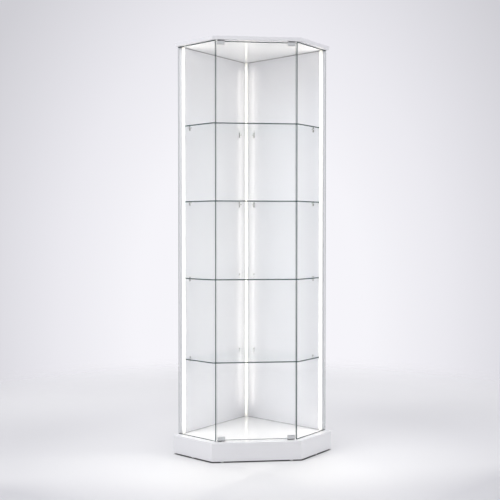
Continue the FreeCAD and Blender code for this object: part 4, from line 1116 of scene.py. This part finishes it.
CHEEK, PAD, WEB, CLAMP_REACH, OVERCUT = 0.003, 0.0005, 0.002, 0.014, 0.001
GRUB_RADIUS, GRUB_SPACING, GRUB_GAP, KEY_RADIUS, KEY_DEPTH = 0.002, 0.016, 0.0001, 0.0011, 0.0015
clamp_metal = satin_metal("satin_clamp_metal", (door_low.z - 0.0002, door_high.z + 0.0002))
for name, end in (
    ("hinge_clamp_top", 1),
    ("strike_clamp_top", 1),
    ("hinge_clamp_bottom", -1),
    ("strike_clamp_bottom", -1),
):
    low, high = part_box(name)
    body = start_block(f"{name}_body", low, high)
    rounded(body, 0.0009)
    tip = low.z if end > 0 else high.z
    inner = (high.z - WEB) if end > 0 else (low.z + WEB)
    slot_levels = sorted((tip - end * OVERCUT, inner))
    slot_low = (low.x - OVERCUT, low.y + CHEEK, slot_levels[0])
    slot_high = (high.x + OVERCUT, high.y - CHEEK, slot_levels[1])
    cut_away(body, start_block("glass_slot", slot_low, slot_high))
    middle_x = (low.x + high.x) / 2
    grub_level = (tip + end * CLAMP_REACH / 2) - end * PAD / 2
    for step in (-1, 1):
        hole = start_disc("grub_hole", GRUB_RADIUS + GRUB_GAP, -OVERCUT, CHEEK + OVERCUT, 28)
        hole_place = Vector((middle_x + step * GRUB_SPACING / 2, high.y - CHEEK, grub_level))
        hole.data.transform(standing([hole_place], (0, 1, 0))[0])
        cut_away(body, hole)
    fit(body, clamp_metal, "door", "clamp_metal", name)

grub_places = [(low + high) / 2 for low, high in solids_of("clamp_screws")]
grub = start_disc("clamp_screw", GRUB_RADIUS, 0, CHEEK - 2 * GRUB_GAP, 28)
edit_faces(grub, lambda middle, normal: abs(normal.z) > 0.9)
bpy.ops.mesh.bevel(offset=0.0003, segments=2, affect="EDGES")
cut_away(grub, start_disc("key_hole", KEY_RADIUS, -KEY_DEPTH, KEY_DEPTH, 6))
dark_steel = plated("dark_grub_screw", (0.20, 0.20, 0.21, 1), (0.30, 0.30, 0.31, 1), 0.3)
fit_copies(
    grub,
    standing(grub_places, (0, -1, 0), CHEEK / 2),
    dark_steel,
    "door",
    "clamp_metal",
    "clamp_screws",
)
dress(["clamp_pads"], clear_rubber("clamp_pad", (0.30, 0.31, 0.31, 1), (0.38, 0.39, 0.39, 1), 0.5))

# ---------------------------------------------------------------------------------------------
# Pivots: a steel pin screwed into each hinge clamp turns in a flanged black bush, which is let
# into the floor board below and into the top board above.
# ---------------------------------------------------------------------------------------------
dress(["hinge_pin_top", "hinge_pin_bottom"], zinc)
dress(["hinge_bush_top", "hinge_bush_bottom"], black_plastic)

# ---------------------------------------------------------------------------------------------
# Catches: a small black post stands behind each strike clamp and carries a round magnet, which
# holds the closed door.
# ---------------------------------------------------------------------------------------------
CATCH_DEPTH, CATCH_RISE, BARREL_RADIUS, MAGNET_RADIUS = 0.006, 0.013, 0.005, 0.004
MAGNET_HALF, POCKET_GAP = 0.002, 0.0001
magnet_middles = [(low + high) / 2 for low, high in solids_of("catch_magnets")]
for name, end, magnet_middle in zip(
    ("magnetic_catch_bottom", "magnetic_catch_top"),
    (-1, 1),
    sorted(magnet_middles, key=lambda middle: middle.z),
):
    low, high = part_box(name)
    face = (low.z + CATCH_RISE) if end > 0 else (high.z - CATCH_RISE)
    tip = low.z if end > 0 else high.z
    middle = (low + high) / 2
    levels = sorted((face, tip))
    post = start_block(
        f"{name}_post",
        (low.x, middle.y - CATCH_DEPTH / 2, levels[0]),
        (high.x, middle.y + CATCH_DEPTH / 2, levels[1]),
    )
    edit_faces(post, lambda middle, normal: normal.z * end < -0.9)
    bpy.ops.mesh.bevel(offset=0.0012, segments=3, affect="EDGES")
    rounded(post, 0.0005, 2)
    barrel_levels = (face, high.z) if end > 0 else (low.z, face)
    barrel = start_disc("barrel", BARREL_RADIUS, *barrel_levels, 32)
    edit_faces(barrel, lambda middle, normal: normal.z * end > 0.9)
    bpy.ops.mesh.bevel(offset=0.0008, segments=2, affect="EDGES")
    bpy.ops.object.mode_set(mode="OBJECT")
    barrel.data.transform(Matrix.Translation((middle.x, middle.y, 0)))
    pocket_low, pocket_high = -MAGNET_HALF - 0.0005, MAGNET_HALF + POCKET_GAP
    pocket = start_disc(
        "magnet_pocket", MAGNET_RADIUS + POCKET_GAP, pocket_low, pocket_high, 32
    )
    pocket.data.transform(standing([magnet_middle], (0, 1, 0))[0])
    cut_away(post, pocket)
    fit(joined(post, barrel), black_plastic, "cabinet", "box_plastic", name)
magnet_finish = plated("nickel_magnet", (0.60, 0.59, 0.57, 1), (0.70, 0.69, 0.67, 1), 0.15)
magnet = start_disc("catch_magnet", MAGNET_RADIUS, -MAGNET_HALF, MAGNET_HALF, 32)
rounded(magnet, 0.0004)
fit_copies(
    magnet,
    standing(magnet_middles, (0, -1, 0)),
    magnet_finish,
    "cabinet",
    "magnet_metal",
    "catch_magnets",
)

# ---------------------------------------------------------------------------------------------
# Sizes: the box round the dressed cabinet, without the studio's floor and backdrop, is measured.
# ---------------------------------------------------------------------------------------------
low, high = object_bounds()
